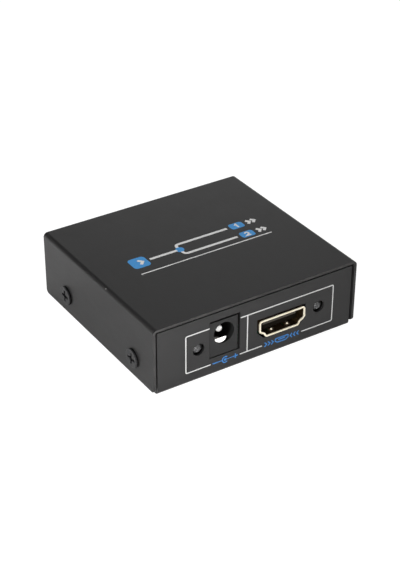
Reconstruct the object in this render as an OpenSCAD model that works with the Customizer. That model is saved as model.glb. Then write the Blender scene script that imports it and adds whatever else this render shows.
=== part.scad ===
// Two-way video splitter in a folded sheet steel case.
// Millimetres. X runs across the front, Y from the front to the rear, Z up from the underside.

/* [Case] */
// Width over the two sides of the cover
case_w = 65; // [62:0.5:90]
// Depth from the front edge of the cover to its rear edge
case_d = 59.2; // [57:0.1:90]
// Height from the underside to the top of the cover
case_h = 20.6; // [19:0.1:30]
// Thickness of the steel sheet
sheet_t = 0.8; // [0.6:0.05:1.1]
// Outside radius of every fold
fold_r = 1.3; // [1:0.1:2]
// Radius of the lower corners of the cover's sides
cover_corner_r = 1.2; // [0.5:0.1:2.5]
// Height of the cover's lower edge above the underside
cover_lift = 1.2; // [0.1:0.05:1.5]
// Setback of the front and rear panels behind the edges of the cover
panel_inset = 0.35; // [0:0.05:0.5]
// Gap between a panel and the cover around it
panel_gap = 0.6; // [0.1:0.05:0.8]
// Height of the side flanges of the base
flange_h = 11; // [9.5:0.5:14]
// Gap between a side flange and the cover outside it
flange_gap = 0.1; // [0.05:0.01:0.3]
// Clear length between a side flange and the fold of a panel
fold_relief = 0.5; // [0.3:0.1:2]

/* [Screws] */
// Outside diameter of the screw threads
screw_d = 2.9; // [2:0.1:3.4]
// Pitch of the screw threads
screw_pitch = 0.5; // [0.4:0.05:0.8]
// Depth of the thread grooves
thread_depth = 0.2; // [0.1:0.02:0.3]
// Radial clearance of a thread in its tapped hole
thread_gap = 0.05; // [0.02:0.01:0.1]
// Diameter of the screw heads
screw_head_d = 5.5; // [4.5:0.1:6]
// Height of the screw heads
screw_head_h = 0.7; // [0.7:0.05:1.5]
// Radius around the rim of a screw head
screw_edge_r = 0.2; // [0.1:0.05:0.5]
// Length across the cross recess
recess_l = 3.4; // [2:0.1:3.6]
// Width of one arm of the cross recess
recess_w = 0.75; // [0.4:0.05:0.9]
// Depth of the cross recess
recess_depth = 0.55; // [0.3:0.05:0.65]
// Gap under a screw head
head_seat = 0.02; // [0:0.01:0.05]
// Length of the cover screws under the head
screw_l = 4; // [3:0.5:5]
// Distance of the front cover screws from the front edge
screw_front_inset = 10.3; // [8:0.1:18]
// Distance of the rear cover screws from the rear edge
screw_rear_inset = 12.6; // [8:0.1:18]
// Height of the cover screws above the underside
screw_z = 6.7; // [4:0.1:8.5]
// Radial clearance of a screw in a plain hole
hole_gap = 0.25; // [0.1:0.05:0.5]
// Diameter of the drawn collars that the cover screws run in
collar_d = 4.6; // [4:0.1:6]
// Length of the drawn collars
collar_l = 1; // [0.5:0.1:1.5]

/* [Board] */
// Thickness of the circuit board
board_t = 1.6; // [1:0.1:2]
// Gap between the board and the front and rear panels
board_end_gap = 1; // [0.5:0.1:2]
// Gap between the board and the tips of the cover screws
board_side_gap = 0.7; // [0.3:0.1:2]
// Height of the stand-offs under the board
standoff_h = 3.4; // [1.6:0.1:4]
// Diameter of the stand-offs
standoff_d = 5; // [4.4:0.1:6]
// Diameter of the spigots pressed into the base
spigot_d = 4.2; // [4:0.1:4.3]
// Setback of the spigots above the underside
spigot_inset = 0.1; // [0.05:0.05:0.3]
// Clearance of pieces pressed or moulded together
press_gap = 0.02; // [0:0.01:0.05]
// Distance of the board screws from the sides of the board
board_screw_side = 3.8; // [3.2:0.1:5]
// Distance of the board screws from the ends of the board
board_screw_end = 9; // [8.8:0.1:12]
// Length of a soldered leg below the board
leg_under = 0.8; // [0.3:0.1:1.2]
// Clearance around a leg in the board
leg_gap = 0.25; // [0.1:0.05:0.4]

/* [Video sockets] */
// Place of the input socket to the right of the middle
input_socket_x = 7.9; // [6:0.05:10]
// Place of each output socket from the middle
output_socket_x = 11.5; // [9.5:0.25:13.25]
// Height of the middle of a socket above the board
socket_axis_h = 3.4; // [3:0.1:5]
// Width of the opening
socket_open_w = 14; // [13.5:0.05:14.5]
// Height of the opening
socket_open_h = 4.55; // [4.4:0.05:5]
// Height of the straight upper part of the sides
socket_side_h = 2.8; // [2.4:0.05:3.2]
// Width of the shoulder in each side
socket_shoulder_w = 1.35; // [0.6:0.05:1.6]
// Fall of the shoulder
socket_shoulder_h = 0.75; // [0.3:0.05:0.9]
// Width of the floor of the opening
socket_floor_w = 10.2; // [9.5:0.1:10.8]
// Radius in the corners of the opening
socket_corner_r = 0.4; // [0.1:0.05:0.5]
// Thickness of the shell
socket_wall = 0.3; // [0.2:0.05:0.4]
// Reach of the lip outside the shell
socket_flare = 0.2; // [0.1:0.05:0.6]
// Length of the lip
socket_lip_l = 0.6; // [0.4:0.1:0.8]
// Length of the shell
socket_l = 11.2; // [10.5:0.1:12.5]
// Reach of the lip in front of the panel
socket_proud = 0.5; // [0.2:0.05:0.8]
// Gap between the lip and the cut-out in the panel
socket_cut_gap = 0.4; // [0.1:0.05:0.6]
// Width of the seam along the floor of the shell
seam_w = 0.12; // [0.05:0.01:0.3]
// Width of a spring tab in the shell
tab_w = 1.6; // [1:0.1:2.4]
// Distance of a spring tab from the middle
tab_x = 2.6; // [2:0.1:3.2]
// Depth of the tip of a spring tab behind the lip's face
tab_tip = 1.2; // [1.1:0.1:4]
// Length of a spring tab
tab_l = 5.4; // [4:0.1:6]
// Reach of a spring tab into the opening
tab_reach = 0.5; // [0.2:0.05:0.7]
// Length of the bent nose of a spring tab
tab_nose_l = 0.5; // [0.3:0.05:0.8]
// Clear width around a spring tab
tab_gap = 0.3; // [0.2:0.05:0.4]
// Width of a leg of the shell
leg_w = 1.8; // [1:0.1:2.5]
// Depth of the front legs behind the lip's face
leg_front = 4.2; // [4:0.1:5]
// Distance between the front and rear legs
leg_pitch = 5; // [3:0.1:5.5]

/* [Socket inside] */
// Width of the tongue
tongue_w = 11; // [10.6:0.1:11.6]
// Thickness of the tongue
tongue_t = 2.1; // [1.8:0.1:2.4]
// Drop of the tongue below the middle of the opening
tongue_drop = 0.3; // [0:0.05:0.4]
// Depth of the tongue's front edge behind the lip's face
tongue_start = 1.4; // [1:0.1:3]
// Bevel on the tongue's front edge
tongue_bevel = 0.4; // [0.1:0.1:0.6]
// Length of the block inside the rear of the shell
block_l = 3; // [2:0.1:3.5]
// Thickness of the block's wall behind the shell
rear_wall_t = 1; // [0.6:0.1:1.5]
// Contacts on the upper face of the tongue
upper_contacts = 10; // [4:1:10]
// Contacts on the lower face of the tongue
lower_contacts = 9; // [3:1:10]
// Distance between neighbouring contacts of one row
contact_pitch = 1; // [0.9:0.05:1.05]
// Width of a contact
contact_w = 0.4; // [0.25:0.05:0.4]
// Thickness of a contact
contact_t = 0.15; // [0.1:0.01:0.2]
// Depth of the contacts' tips behind the tongue's front edge
contact_start = 0.6; // [0.5:0.1:1.5]
// Length of a contact's foot on the board
contact_foot = 0.9; // [0.5:0.1:1.2]
// Gap between the rear wall and the nearer row of legs
contact_back = 0.15; // [0.1:0.05:0.4]
// Distance between the two rows of legs
contact_row = 0.35; // [0.2:0.05:0.6]

/* [Power jack] */
// Place of the jack across the front, left of the middle
jack_x = 10.6; // [9:0.1:12]
// Width of the jack
jack_w = 8.7; // [8.6:0.1:9.6]
// Height of the jack
jack_h = 10.6; // [10.5:0.1:12]
// Length of the jack
jack_l = 14; // [13.6:0.1:15]
// Length of the square front of the jack
jack_front_l = 3.2; // [2:0.1:5]
// Height of the bore's axis above the board
jack_axis_h = 6.5; // [6.2:0.1:6.8]
// Diameter of the bore
jack_bore_d = 6.4; // [6:0.1:6.8]
// Depth of the bore
jack_bore_l = 9.5; // [9:0.1:10]
// Setback of the jack's face behind the panel's face
jack_inset = 0.1; // [0:0.1:1]
// Gap left of the jack in its cut-out
jack_left_gap = 0.15; // [0.1:0.05:0.8]
// Gap right of the jack in its cut-out
jack_right_gap = 0.7; // [0.1:0.05:0.8]
// Gap over the jack in its cut-out
jack_top_gap = 0.6; // [0.1:0.05:0.8]
// Gap under the jack in its cut-out
jack_low_gap = 0.3; // [0.1:0.05:0.5]
// Diameter of the centre pin
pin_d = 2; // [1.6:0.1:2.5]
// Diameter of the pin's root in the rear of the jack
pin_root_d = 2.8; // [2.6:0.1:3.2]
// Setback of the pin's tip behind the jack's face
pin_setback = 2; // [1:0.1:3]
// Thickness of the terminals
terminal_t = 0.5; // [0.3:0.05:0.6]
// Width of the terminals
terminal_w = 2.4; // [1.5:0.1:2.8]
// Width of the sprung leaf
leaf_w = 3.6; // [2.8:0.1:3.6]
// Thickness of the sprung leaf
leaf_t = 0.3; // [0.2:0.05:0.4]
// Reach of the sprung leaf into the bore
leaf_reach = 0.85; // [0.3:0.05:0.9]
// Depth of the leaf's crown behind the jack's face
leaf_crown = 2.6; // [2.4:0.1:3.6]
// Length of the crown's flat top
crown_l = 0.7; // [0.4:0.1:1]
// Length of the slope on each side of the crown
crown_slope_l = 0.5; // [0.3:0.1:0.6]
// Fall of the leaf's tip below the floor of the bore
tip_fall = 0.5; // [0.3:0.1:0.7]
// Depth of the leaf's tip behind the jack's face
leaf_tip = 1; // [0.9:0.1:1.2]
// Depth of the leaf's root behind the jack's face
leaf_root = 11; // [10.8:0.1:11.2]
// Height of the leaf's root above the board
leaf_root_h = 1.4; // [1.2:0.1:1.6]
// Diameter of the rolled eye at the leaf's root
eye_d = 1; // [0.8:0.05:1.1]
// Radial clearance of the eye in its saddle
eye_gap = 0.05; // [0.02:0.01:0.1]
// Side clearance of the leaf in the jack
leaf_gap = 0.3; // [0.2:0.05:0.4]
// Clear length in the jack before the leaf's tip
channel_front = 0.45; // [0.4:0.05:0.6]
// Clear length in the jack behind the leaf's root
channel_end = 1; // [0.8:0.1:1.1]
// Height of the eye's saddle above the board
saddle_lift = 0.2; // [0.1:0.05:0.3]
// Gap between the leaf and the switch contact above it
switch_gap = 0.05; // [0.03:0.01:0.1]
// Distance of the switch contact's finger in front of the leaf's root
finger_back = 2; // [1.6:0.1:2.4]
// Length of the finger along the jack
finger_l = 0.8; // [0.5:0.1:1]
// Thickness of the finger
finger_t = 0.4; // [0.3:0.05:0.5]
// Reach of the finger over the leaf's edge
finger_reach = 0.8; // [0.5:0.1:1.2]
// Distance of the switch contact's blade from the leaf's channel
switch_out = 1.2; // [0.8:0.1:1.6]

/* [Lamps] */
// Distance of the power lamp from the jack's axis
power_led_out = 7.9; // [7.4:0.05:9.5]
// Distance of the input lamp from the middle of its socket
input_led_out = 12.35; // [10.5:0.05:14.25]
// Distance of each output lamp from the middle of its socket
output_led_out = 10.5; // [10.3:0.1:12.1]
// Diameter of a lamp
led_d = 3; // [2:0.1:3.2]
// Length of a lamp
led_l = 6.5; // [5.5:0.1:7]
// Diameter of the flange at the rear of a lamp
led_flange_d = 3.8; // [3.5:0.1:4.2]
// Thickness of the flange
led_flange_t = 1; // [0.5:0.1:1.2]
// Height of a lamp above the board
led_axis_h = 4; // [3.5:0.1:5]
// Setback of a lamp's tip behind the panel's face
led_inset = 0.1; // [0:0.05:0.5]
// Radial gap around a lamp in the panel
led_hole_gap = 0.3; // [0.1:0.05:0.4]
// Width of a lamp holder
holder_w = 4.6; // [4.2:0.1:5]
// Height of a lamp holder above the lamp's middle
holder_over = 2.1; // [1.9:0.1:2.6]
// Gap between a lamp holder and the edge of the board
holder_edge = 0.2; // [0:0.1:0.6]
// Distance between the two leads of a lamp
led_pitch = 2.54; // [2:0.01:2.6]
// Thickness of a lead
lead_t = 0.5; // [0.3:0.05:0.6]
// Length of a lead behind the lamp before it turns down
lead_back = 0.8; // [0.6:0.1:1.2]

/* [Board parts] */
// Grid that the parts on the board are placed on
board_grid = 0.5; // [0.45:0.01:0.58]
// Side of the splitter chip
chip_w = 10; // [8:0.5:12]
// Thickness of the splitter chip
chip_t = 1.4; // [0.8:0.1:2]
// Leads along one side of the splitter chip
chip_leads = 16; // [8:1:18]
// Reach of a chip's leads beyond its side
chip_lead_l = 1; // [0.8:0.1:1.5]
// Thickness of a chip's leads
chip_lead_t = 0.15; // [0.1:0.01:0.2]
// Gap between a chip and the board
chip_lift = 0.1; // [0.05:0.05:0.2]
// Leads along one side of a memory chip
memory_leads = 4; // [3:1:6]
// Length of a memory chip
memory_l = 4.9; // [4:0.1:6]
// Width of a memory chip
memory_w = 3.9; // [3:0.1:5]
// Length of the regulator
regulator_l = 6.5; // [6:0.1:7]
// Width of the regulator
regulator_w = 3.5; // [3:0.1:4]
// Thickness of the regulator
regulator_t = 1.6; // [1:0.1:2]
// Diameter of the capacitor cans
can_d = 5; // [4:0.1:6.3]
// Height of the capacitor cans
can_h = 5.2; // [4:0.1:6]
// Height of the square bases under the cans
can_base_h = 0.8; // [0.5:0.1:1]
// Length of the crystal
crystal_l = 8; // [5:0.5:10]
// Width of the crystal
crystal_w = 4; // [3:0.1:4.5]
// Height of the crystal
crystal_h = 3.2; // [2:0.1:4]
// Side of the power inductor
inductor_w = 5; // [4:0.1:6]
// Height of the power inductor
inductor_h = 2.8; // [2:0.1:4]
// Length of a ceramic capacitor
ceramic_l = 1.6; // [1:0.1:2]
// Length of a chip resistor
resistor_l = 1.6; // [1:0.1:2]
// Length of a surge array
surge_l = 2.5; // [2:0.1:3]
// Gap between a surge array and the feet of a socket's contacts
surge_gap = 1; // [0.3:0.1:1.5]

/* [Hidden] */
$fn = 48;

// Reach of a cutting shape past the face that it cuts
over = 1;

// Faces of the case, measured from its middle
wall_in = case_w / 2 - sheet_t;
flange_x = wall_in - flange_gap;
panel_y = case_d / 2 - panel_inset;
panel_half_w = wall_in - panel_gap;
panel_top = case_h - sheet_t - panel_gap;
flange_half_d = panel_y - fold_r - fold_relief;
SCREW_YS = [screw_front_inset - case_d / 2, case_d / 2 - screw_rear_inset];

// Levels and edges of the circuit board
board_z = sheet_t + standoff_h;
board_top = board_z + board_t;
board_half_w = case_w / 2 - screw_l - board_side_gap;
board_half_d = panel_y - sheet_t - board_end_gap;
board_screw_x = board_half_w - board_screw_side;
board_screw_y = board_half_d - board_screw_end;
leg_bottom = -board_t - leg_under;

// Each socket's and lamp's place across the case, and its turn from the front panel
INPUT = [input_socket_x, 0];
OUTPUT_1 = [output_socket_x, 180];
OUTPUT_2 = [-output_socket_x, 180];
SOCKETS = [INPUT, OUTPUT_1, OUTPUT_2];
JACK = [-jack_x, 0];
output_led_x = output_socket_x + output_led_out;
LEDS = [
    [-jack_x - power_led_out, 0],
    [input_socket_x + input_led_out, 0],
    [output_led_x, 180],
    [-output_led_x, 180]
];

// Half of a socket's opening from the top corner to the floor: across, up from its middle, corner radius
shoulder_z = socket_open_h / 2 - socket_side_h;
SOCKET_HALF = [
    [socket_open_w / 2, socket_open_h / 2, socket_corner_r],
    [socket_open_w / 2, shoulder_z, socket_corner_r],
    [socket_open_w / 2 - socket_shoulder_w, shoulder_z - socket_shoulder_h, socket_corner_r],
    [socket_floor_w / 2, -socket_open_h / 2, socket_corner_r]
];
SOCKET = concat(SOCKET_HALF, [for (i = [len(SOCKET_HALF) - 1:-1:0]) flipped(SOCKET_HALF[i])]);
socket_rim = socket_wall + socket_flare;
socket_back = socket_l + rear_wall_t;
tongue_top = socket_axis_h - tongue_drop + tongue_t / 2;
tongue_floor = tongue_top - tongue_t;

// Centre line of the sprung leaf from root to tip: depth behind the jack's face, height over the board
bore_floor = jack_axis_h - jack_bore_d / 2;
crown_h = bore_floor + leaf_reach - leaf_t / 2;
tip_h = bore_floor - tip_fall;
LEAF = [
    [leaf_root, leaf_root_h],
    [leaf_crown + crown_l / 2 + crown_slope_l, crown_h - leaf_t / 2],
    [leaf_crown + crown_l / 2, crown_h],
    [leaf_crown - crown_l / 2, crown_h],
    [leaf_crown - crown_l / 2 - crown_slope_l, crown_h - leaf_t / 2],
    [leaf_tip, tip_h]
];
leaf_slope = (LEAF[1].y - LEAF[0].y) / (LEAF[0].x - LEAF[1].x);
channel_half_w = leaf_w / 2 + leaf_gap;
channel_y = leaf_tip - channel_front;

// Switch contact: depth of its finger, and the level of the finger's lower face above the leaf
finger_y = leaf_root - finger_back;
finger_h = leaf_root_h + leaf_slope * finger_back + leaf_t / 2 * norm([1, leaf_slope]) + switch_gap;
channel_ceiling = finger_h + finger_t + leaf_gap;
switch_x = -channel_half_w - switch_out;

// Depths of the lamp holder's and lamp lead's faces behind the panel's face
holder_y = sheet_t + board_end_gap + holder_edge;
led_seat = led_inset + led_l - led_flange_t;
lead_y = led_inset + led_l + lead_back;

// Places of the parts on the board, in steps of its grid: across, towards the rear
CHIP = board_grid * [4, 2];
MEMORIES = board_grid * [[-18, 10], [29, -8]];
REGULATOR = board_grid * [-40, -16];
CANS = board_grid * [[-40, 2], [-40, 17], [-22, -16]];
CRYSTAL = board_grid * [29, 9];
INDUCTOR = board_grid * [-4, -22];
CERAMICS = board_grid * concat(
    [for (i = [0:4]) [-8 + 6 * i, 19]],
    [for (i = [0:3]) [43, -18 + 6 * i]]
);
RESISTORS = board_grid * concat(
    [for (i = [0:3]) [-8 + 6 * i, 23]],
    [for (i = [0:3]) [8 + 6 * i, -19]]
);

function unit(v) = v / norm(v);
function flat(p) = [p.x, p.y];
function flipped(p) = [-p.x, p.y, p.z];
// Left-hand normal of the edge from p to q, which points out of a clockwise outline
function edge_normal(p, q) = unit([p.y - q.y, q.x - p.x]);
function is_hollow(p, q, s) = cross(flat(q) - flat(p), flat(s) - flat(q)) > 0;
// Corner q of a clockwise outline after the outline grows by g
function grown_corner(p, q, s, g) =
    let (a = edge_normal(p, q), b = edge_normal(q, s), at = flat(q) + g * (a + b) / (1 + a * b))
    [at.x, at.y, max(0, q.z + (is_hollow(p, q, s) ? -g : g))];
function grown(outline, g) =
    let (n = len(outline))
    [for (i = [0:n - 1]) grown_corner(outline[(i + n - 1) % n], outline[i], outline[(i + 1) % n], g)];
// Corner q replaced by an arc of its radius
function arc_corner(p, q, s, steps = 5) =
    let (
        a = unit(flat(p) - flat(q)),
        b = unit(flat(s) - flat(q)),
        half = acos(a * b) / 2,
        middle = flat(q) + unit(a + b) * q.z / sin(half),
        from = flat(q) + a * q.z / tan(half) - middle,
        to = flat(q) + b * q.z / tan(half) - middle,
        start = atan2(from.y, from.x),
        sweep = (atan2(to.y, to.x) - start + 540) % 360 - 180
    )
    q.z == 0 ? [flat(q)] : [
        for (i = [0:steps]) middle + q.z * [cos(start + sweep * i / steps), sin(start + sweep * i / steps)]
    ];
function rounded(outline) =
    let (n = len(outline))
    [for (i = [0:n - 1]) each arc_corner(outline[(i + n - 1) % n], outline[i], outline[(i + 1) % n])];
// Points at the distance g to the left of an open path
function beside(path, g) =
    let (n = len(path))
    [for (i = [0:n - 1])
        let (
            a = edge_normal(path[max(0, i - 1)], path[max(1, i)]),
            b = edge_normal(path[min(i, n - 2)], path[min(i + 1, n - 1)])
        )
        path[i] + g * (a + b) / (1 + a * b)];
// Outline of a strip of thickness t along an open path
function strip(path, t) =
    let (left = beside(path, t / 2), right = beside(path, -t / 2))
    concat(left, [for (i = [len(right) - 1:-1:0]) right[i]]);

// Flat outlines stood up in the XZ plane and drawn out along Y, centred or from a depth towards the rear
module along_y(length) { rotate([90, 0, 0]) linear_extrude(length, center = true) children(); }
module from_depth(depth, length) {
    translate([0, depth + length, 0]) rotate([90, 0, 0]) linear_extrude(length) children();
}
// Flat outlines stood up in the YZ plane and drawn out along X, centred
module along_x(length) { rotate([90, 0, 90]) linear_extrude(length, center = true) children(); }
// Box centred across X, from a depth and a height
module block(width, depth, length, bottom, top) {
    translate([-width / 2, depth, bottom]) cube([width, length, top - bottom]);
}

// Drill along Z that runs past both faces of what it cuts
module drilling(diameter, bottom, top) {
    translate([0, 0, bottom - over]) cylinder(d = diameter, h = top - bottom + 2 * over);
}

// Rectangle standing on the x axis with round upper corners
module arch(width, height, radius) {
    translate([-width / 2, 0]) square([width, height - radius]);
    translate([radius - width / 2, 0]) square([width - 2 * radius, height]);
    for (side = [-1, 1]) translate([side * (width / 2 - radius), height - radius]) circle(radius);
}
// Section of a sheet folded down along two edges
module folded_down(width, height) {
    difference() {
        arch(width, height, fold_r);
        arch(width - 2 * sheet_t, height - sheet_t, fold_r - sheet_t);
    }
}
// Section of a sheet folded up along two edges
module folded_up(width, height) { translate([0, height]) mirror([0, 1]) folded_down(width, height); }

// Screw along Z with its head above the seat and its thread below
module screw(length) {
    head_r = screw_head_d / 2;
    thread_r = screw_d / 2;
    root_r = thread_r - thread_depth;
    turns = floor(length / screw_pitch);
    thread = [for (i = [0:turns - 1]) each [
        [root_r, -length + i * screw_pitch],
        [thread_r, -length + (i + 0.5) * screw_pitch]
    ]];
    rim = [for (angle = [0:15:90])
        [head_r, screw_head_h] + screw_edge_r * [cos(angle) - 1, sin(angle) - 1]];
    difference() {
        rotate_extrude() polygon(concat(
            [[0, -length]],
            thread,
            [[root_r, -length + turns * screw_pitch], [root_r, head_seat], [head_r, head_seat]],
            rim,
            [[0, screw_head_h]]
        ));
        translate([0, 0, screw_head_h - recess_depth]) {
            for (turn = [0, 90]) rotate(turn)
                block(recess_w, -recess_l / 2, recess_l, 0, recess_depth + over);
            cylinder(r = recess_w, h = recess_depth + over);
        }
    }
}

// Frames of the pieces on a panel: origin on the panel's face level with the board, depth towards the middle
module at_panel(place) {
    translate([place.x, 0, board_top]) rotate(place.y) translate([0, -panel_y, 0]) children();
}
module at_socket(place) { at_panel(place) translate([0, -socket_proud, 0]) children(); }
module at_jack() { at_panel(JACK) translate([0, jack_inset, 0]) children(); }
module at_board(spot) { translate([spot.x, spot.y, board_top]) children(); }
module at_board_screws() {
    for (side = [-1, 1], end = [-1, 1])
        translate([side * board_screw_x, end * board_screw_y, 0]) children();
}
module at_cover_screw(side, end) {
    translate([side * case_w / 2, SCREW_YS[end], screw_z]) rotate([0, side * 90, 0]) children();
}
module at_cover_screws() { for (side = [-1, 1], end = [0, 1]) at_cover_screw(side, end) children(); }

module top_cover() {
    color("#3b3a3b") difference() {
        intersection() {
            translate([0, 0, cover_lift]) along_y(case_d) folded_down(case_w, case_h - cover_lift);
            along_x(case_w) translate([0, case_h]) mirror([0, 1])
                arch(case_d, case_h - cover_lift, cover_corner_r);
        }
        at_cover_screws() drilling(screw_d + 2 * hole_gap, -sheet_t, 0);
    }
}

// Cut-out for a socket: a rectangle whose lower corners slope past the shoulder of the lip
module socket_cut() {
    lip = grown(SOCKET, socket_rim);
    half_w = socket_open_w / 2 + socket_rim + socket_cut_gap;
    half_h = socket_open_h / 2 + socket_rim + socket_cut_gap;
    slope = lip[1].x - lip[1].y + socket_cut_gap * sqrt(2);
    half = [[half_w, half_h], [half_w, half_w - slope], [slope - half_h, -half_h]];
    polygon(concat(half, [for (i = [len(half) - 1:-1:0]) [-half[i].x, half[i].y]]));
}

module panel_cuts() {
    depth = sheet_t + 2 * over;
    for (place = SOCKETS) at_panel(place) translate([0, 0, socket_axis_h])
        from_depth(-over, depth) socket_cut();
    at_panel(JACK) translate([(jack_right_gap - jack_left_gap) / 2, 0, 0])
        block(jack_w + jack_left_gap + jack_right_gap, -over, depth, -jack_low_gap, jack_h + jack_top_gap);
    for (place = LEDS) at_panel(place) translate([0, -over, led_axis_h]) rotate([-90, 0, 0])
        cylinder(d = led_d + 2 * led_hole_gap, h = depth);
}

module base_chassis() {
    fold_x = flange_x - fold_r;
    color("#3d3c3d") difference() {
        union() {
            difference() {
                along_x(2 * panel_half_w) folded_up(2 * panel_y, panel_top);
                for (side = [-1, 1]) translate([side * (fold_x + case_w / 2), 0, 0])
                    block(case_w, -flange_half_d, 2 * flange_half_d, -over, sheet_t + over);
            }
            along_y(2 * flange_half_d) folded_up(2 * flange_x, flange_h);
            at_cover_screws() translate([0, 0, flange_x - sheet_t - collar_l - case_w / 2])
                cylinder(d = collar_d, h = collar_l + sheet_t / 2);
        }
        at_cover_screws() drilling(screw_d + 2 * thread_gap, -screw_l, 0);
        at_board_screws() drilling(spigot_d + 2 * press_gap, 0, sheet_t);
        panel_cuts();
    }
}

module cover_screw(side, end) { color("#1c1c1d") at_cover_screw(side, end) screw(screw_l); }
module screw_left_front() { cover_screw(-1, 0); }
module screw_left_rear() { cover_screw(-1, 1); }
module screw_right_front() { cover_screw(1, 0); }
module screw_right_rear() { cover_screw(1, 1); }

module board_standoffs() {
    color("silver") at_board_screws() difference() {
        union() {
            translate([0, 0, sheet_t]) cylinder(d = standoff_d, h = standoff_h);
            translate([0, 0, spigot_inset]) cylinder(d = spigot_d, h = sheet_t);
        }
        drilling(screw_d + 2 * thread_gap, 0, board_z);
    }
}

module board_screws() {
    color("silver") at_board_screws() translate([0, 0, board_top]) screw(board_t + standoff_h);
}

module circuit_board() {
    color("#1f5d34") difference() {
        block(2 * board_half_w, -board_half_d, 2 * board_half_d, board_z, board_top);
        at_board_screws() drilling(screw_d + 2 * hole_gap, board_z, board_top);
        for (place = SOCKETS) at_socket(place) socket_legs(leg_gap);
        at_jack() {
            pin_terminal(leg_gap);
            sleeve_blade(leg_gap);
            switch_blade(leg_gap);
        }
        for (place = LEDS) at_panel(place) lamp_leads(leg_gap);
    }
}

// Legs of a shell, or the slots for them when a gap is given
module socket_legs(gap = 0) {
    top = gap > 0 ? over : socket_axis_h;
    for (side = [-1, 1], depth = [leg_front, leg_front + leg_pitch])
        translate([side * (socket_open_w + socket_wall) / 2, 0, 0])
            block(socket_wall + 2 * gap, depth - gap, leg_w + 2 * gap, leg_bottom - gap, top);
}

// One spring tab of the shell's floor, drawn from the floor's inner face
module spring_tab() {
    root = tab_tip + tab_l;
    crown = tab_tip + tab_nose_l;
    along_x(tab_w) polygon([
        [root, -socket_wall], [root, 0], [crown + tab_nose_l, tab_reach], [crown, tab_reach],
        [tab_tip, 0], [tab_tip, -socket_wall], [crown + tab_nose_l, tab_reach - socket_wall]
    ]);
}

module at_tabs() {
    for (roof = [0, 1], side = [-1, 1])
        translate([side * tab_x, 0, 0]) mirror([0, 0, roof])
            translate([0, 0, -socket_open_h / 2]) children();
}

module socket_shell(place) {
    through = socket_l + 2 * over;
    window_w = tab_w + 2 * tab_gap;
    color("#c9b48c") at_socket(place) {
        difference() {
            union() {
                translate([0, 0, socket_axis_h]) {
                    from_depth(0, socket_lip_l) polygon(rounded(grown(SOCKET, socket_rim)));
                    from_depth(0, socket_l) polygon(rounded(grown(SOCKET, socket_wall)));
                }
                socket_legs();
            }
            translate([0, 0, socket_axis_h]) {
                from_depth(-over, through) polygon(rounded(SOCKET));
                block(seam_w, -over, through, -socket_open_h / 2 - socket_rim - over, 0);
                at_tabs() block(window_w, tab_tip - tab_gap, tab_l + tab_gap, -socket_wall - over, over);
            }
        }
        translate([0, 0, socket_axis_h]) at_tabs() spring_tab();
    }
}

// Contacts of a socket: a row on each face of the tongue, each with a leg and a foot behind the rear wall
module contacts_at_rest() {
    front = tongue_start + contact_start;
    near = socket_back + contact_back;
    rows = [
        [upper_contacts, tongue_top, near + contact_row],
        [lower_contacts, tongue_floor + contact_t, near]
    ];
    for (row = rows, i = [0:row[0] - 1]) translate([(i - (row[0] - 1) / 2) * contact_pitch, 0, 0]) {
        block(contact_w, front, row[2] + contact_t - front, row[1] - contact_t, row[1]);
        block(contact_w, row[2], contact_t, 0, row[1]);
        block(contact_w, row[2], contact_foot, 0, contact_t);
    }
}

module socket_insulator(place) {
    color("#17171a") at_socket(place) difference() {
        union() {
            translate([0, 0, socket_axis_h]) from_depth(socket_l - block_l, block_l)
                polygon(rounded(grown(SOCKET, -press_gap)));
            block(tongue_w, socket_l, rear_wall_t, 0, socket_axis_h + socket_open_h / 2);
            along_x(tongue_w) polygon([
                [socket_l - block_l / 2, tongue_floor], [socket_l - block_l / 2, tongue_top],
                [tongue_start + tongue_bevel, tongue_top], [tongue_start, tongue_top - tongue_bevel],
                [tongue_start, tongue_floor + tongue_bevel], [tongue_start + tongue_bevel, tongue_floor]
            ]);
        }
        contacts_at_rest();
    }
}

module socket_contacts(place) { color("gold") at_socket(place) contacts_at_rest(); }

module input_socket_shell() { socket_shell(INPUT); }
module input_socket_insulator() { socket_insulator(INPUT); }
module input_socket_contacts() { socket_contacts(INPUT); }
module output_1_socket_shell() { socket_shell(OUTPUT_1); }
module output_1_socket_insulator() { socket_insulator(OUTPUT_1); }
module output_1_socket_contacts() { socket_contacts(OUTPUT_1); }
module output_2_socket_shell() { socket_shell(OUTPUT_2); }
module output_2_socket_insulator() { socket_insulator(OUTPUT_2); }
module output_2_socket_contacts() { socket_contacts(OUTPUT_2); }

// Cylinder along the depth of the jack, on the bore's axis
module jack_round(diameter, depth, length) {
    translate([0, depth, jack_axis_h]) rotate([-90, 0, 0]) cylinder(d = diameter, h = length);
}

module jack_body() {
    color("#1f1f20") at_jack() difference() {
        union() {
            block(jack_w, 0, jack_front_l, 0, jack_h);
            block(jack_w, 0, jack_l, 0, jack_axis_h);
            jack_round(2 * (jack_h - jack_axis_h), 0, jack_l);
        }
        jack_round(jack_bore_d, -over, jack_bore_l + over);
        jack_round(pin_root_d + 2 * press_gap, 0, jack_l + over);
        block(2 * channel_half_w, channel_y, jack_bore_l - channel_y, -over, jack_axis_h - pin_d);
        block(2 * channel_half_w, channel_y, leaf_root + channel_end - channel_y, -over, channel_ceiling);
        translate([0, finger_y - leaf_gap, -over]) mirror([1, 0, 0])
            cube([terminal_t / 2 - switch_x + leaf_gap, finger_l + 2 * leaf_gap, channel_ceiling + over]);
    }
}

// Terminal of the centre pin behind the jack, or its slot in the board when a gap is given
module pin_terminal(gap = 0) {
    top = gap > 0 ? over : jack_axis_h + pin_d;
    block(terminal_w + 2 * gap, jack_l + press_gap - gap, terminal_t + 2 * gap, leg_bottom - gap, top);
}

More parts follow.
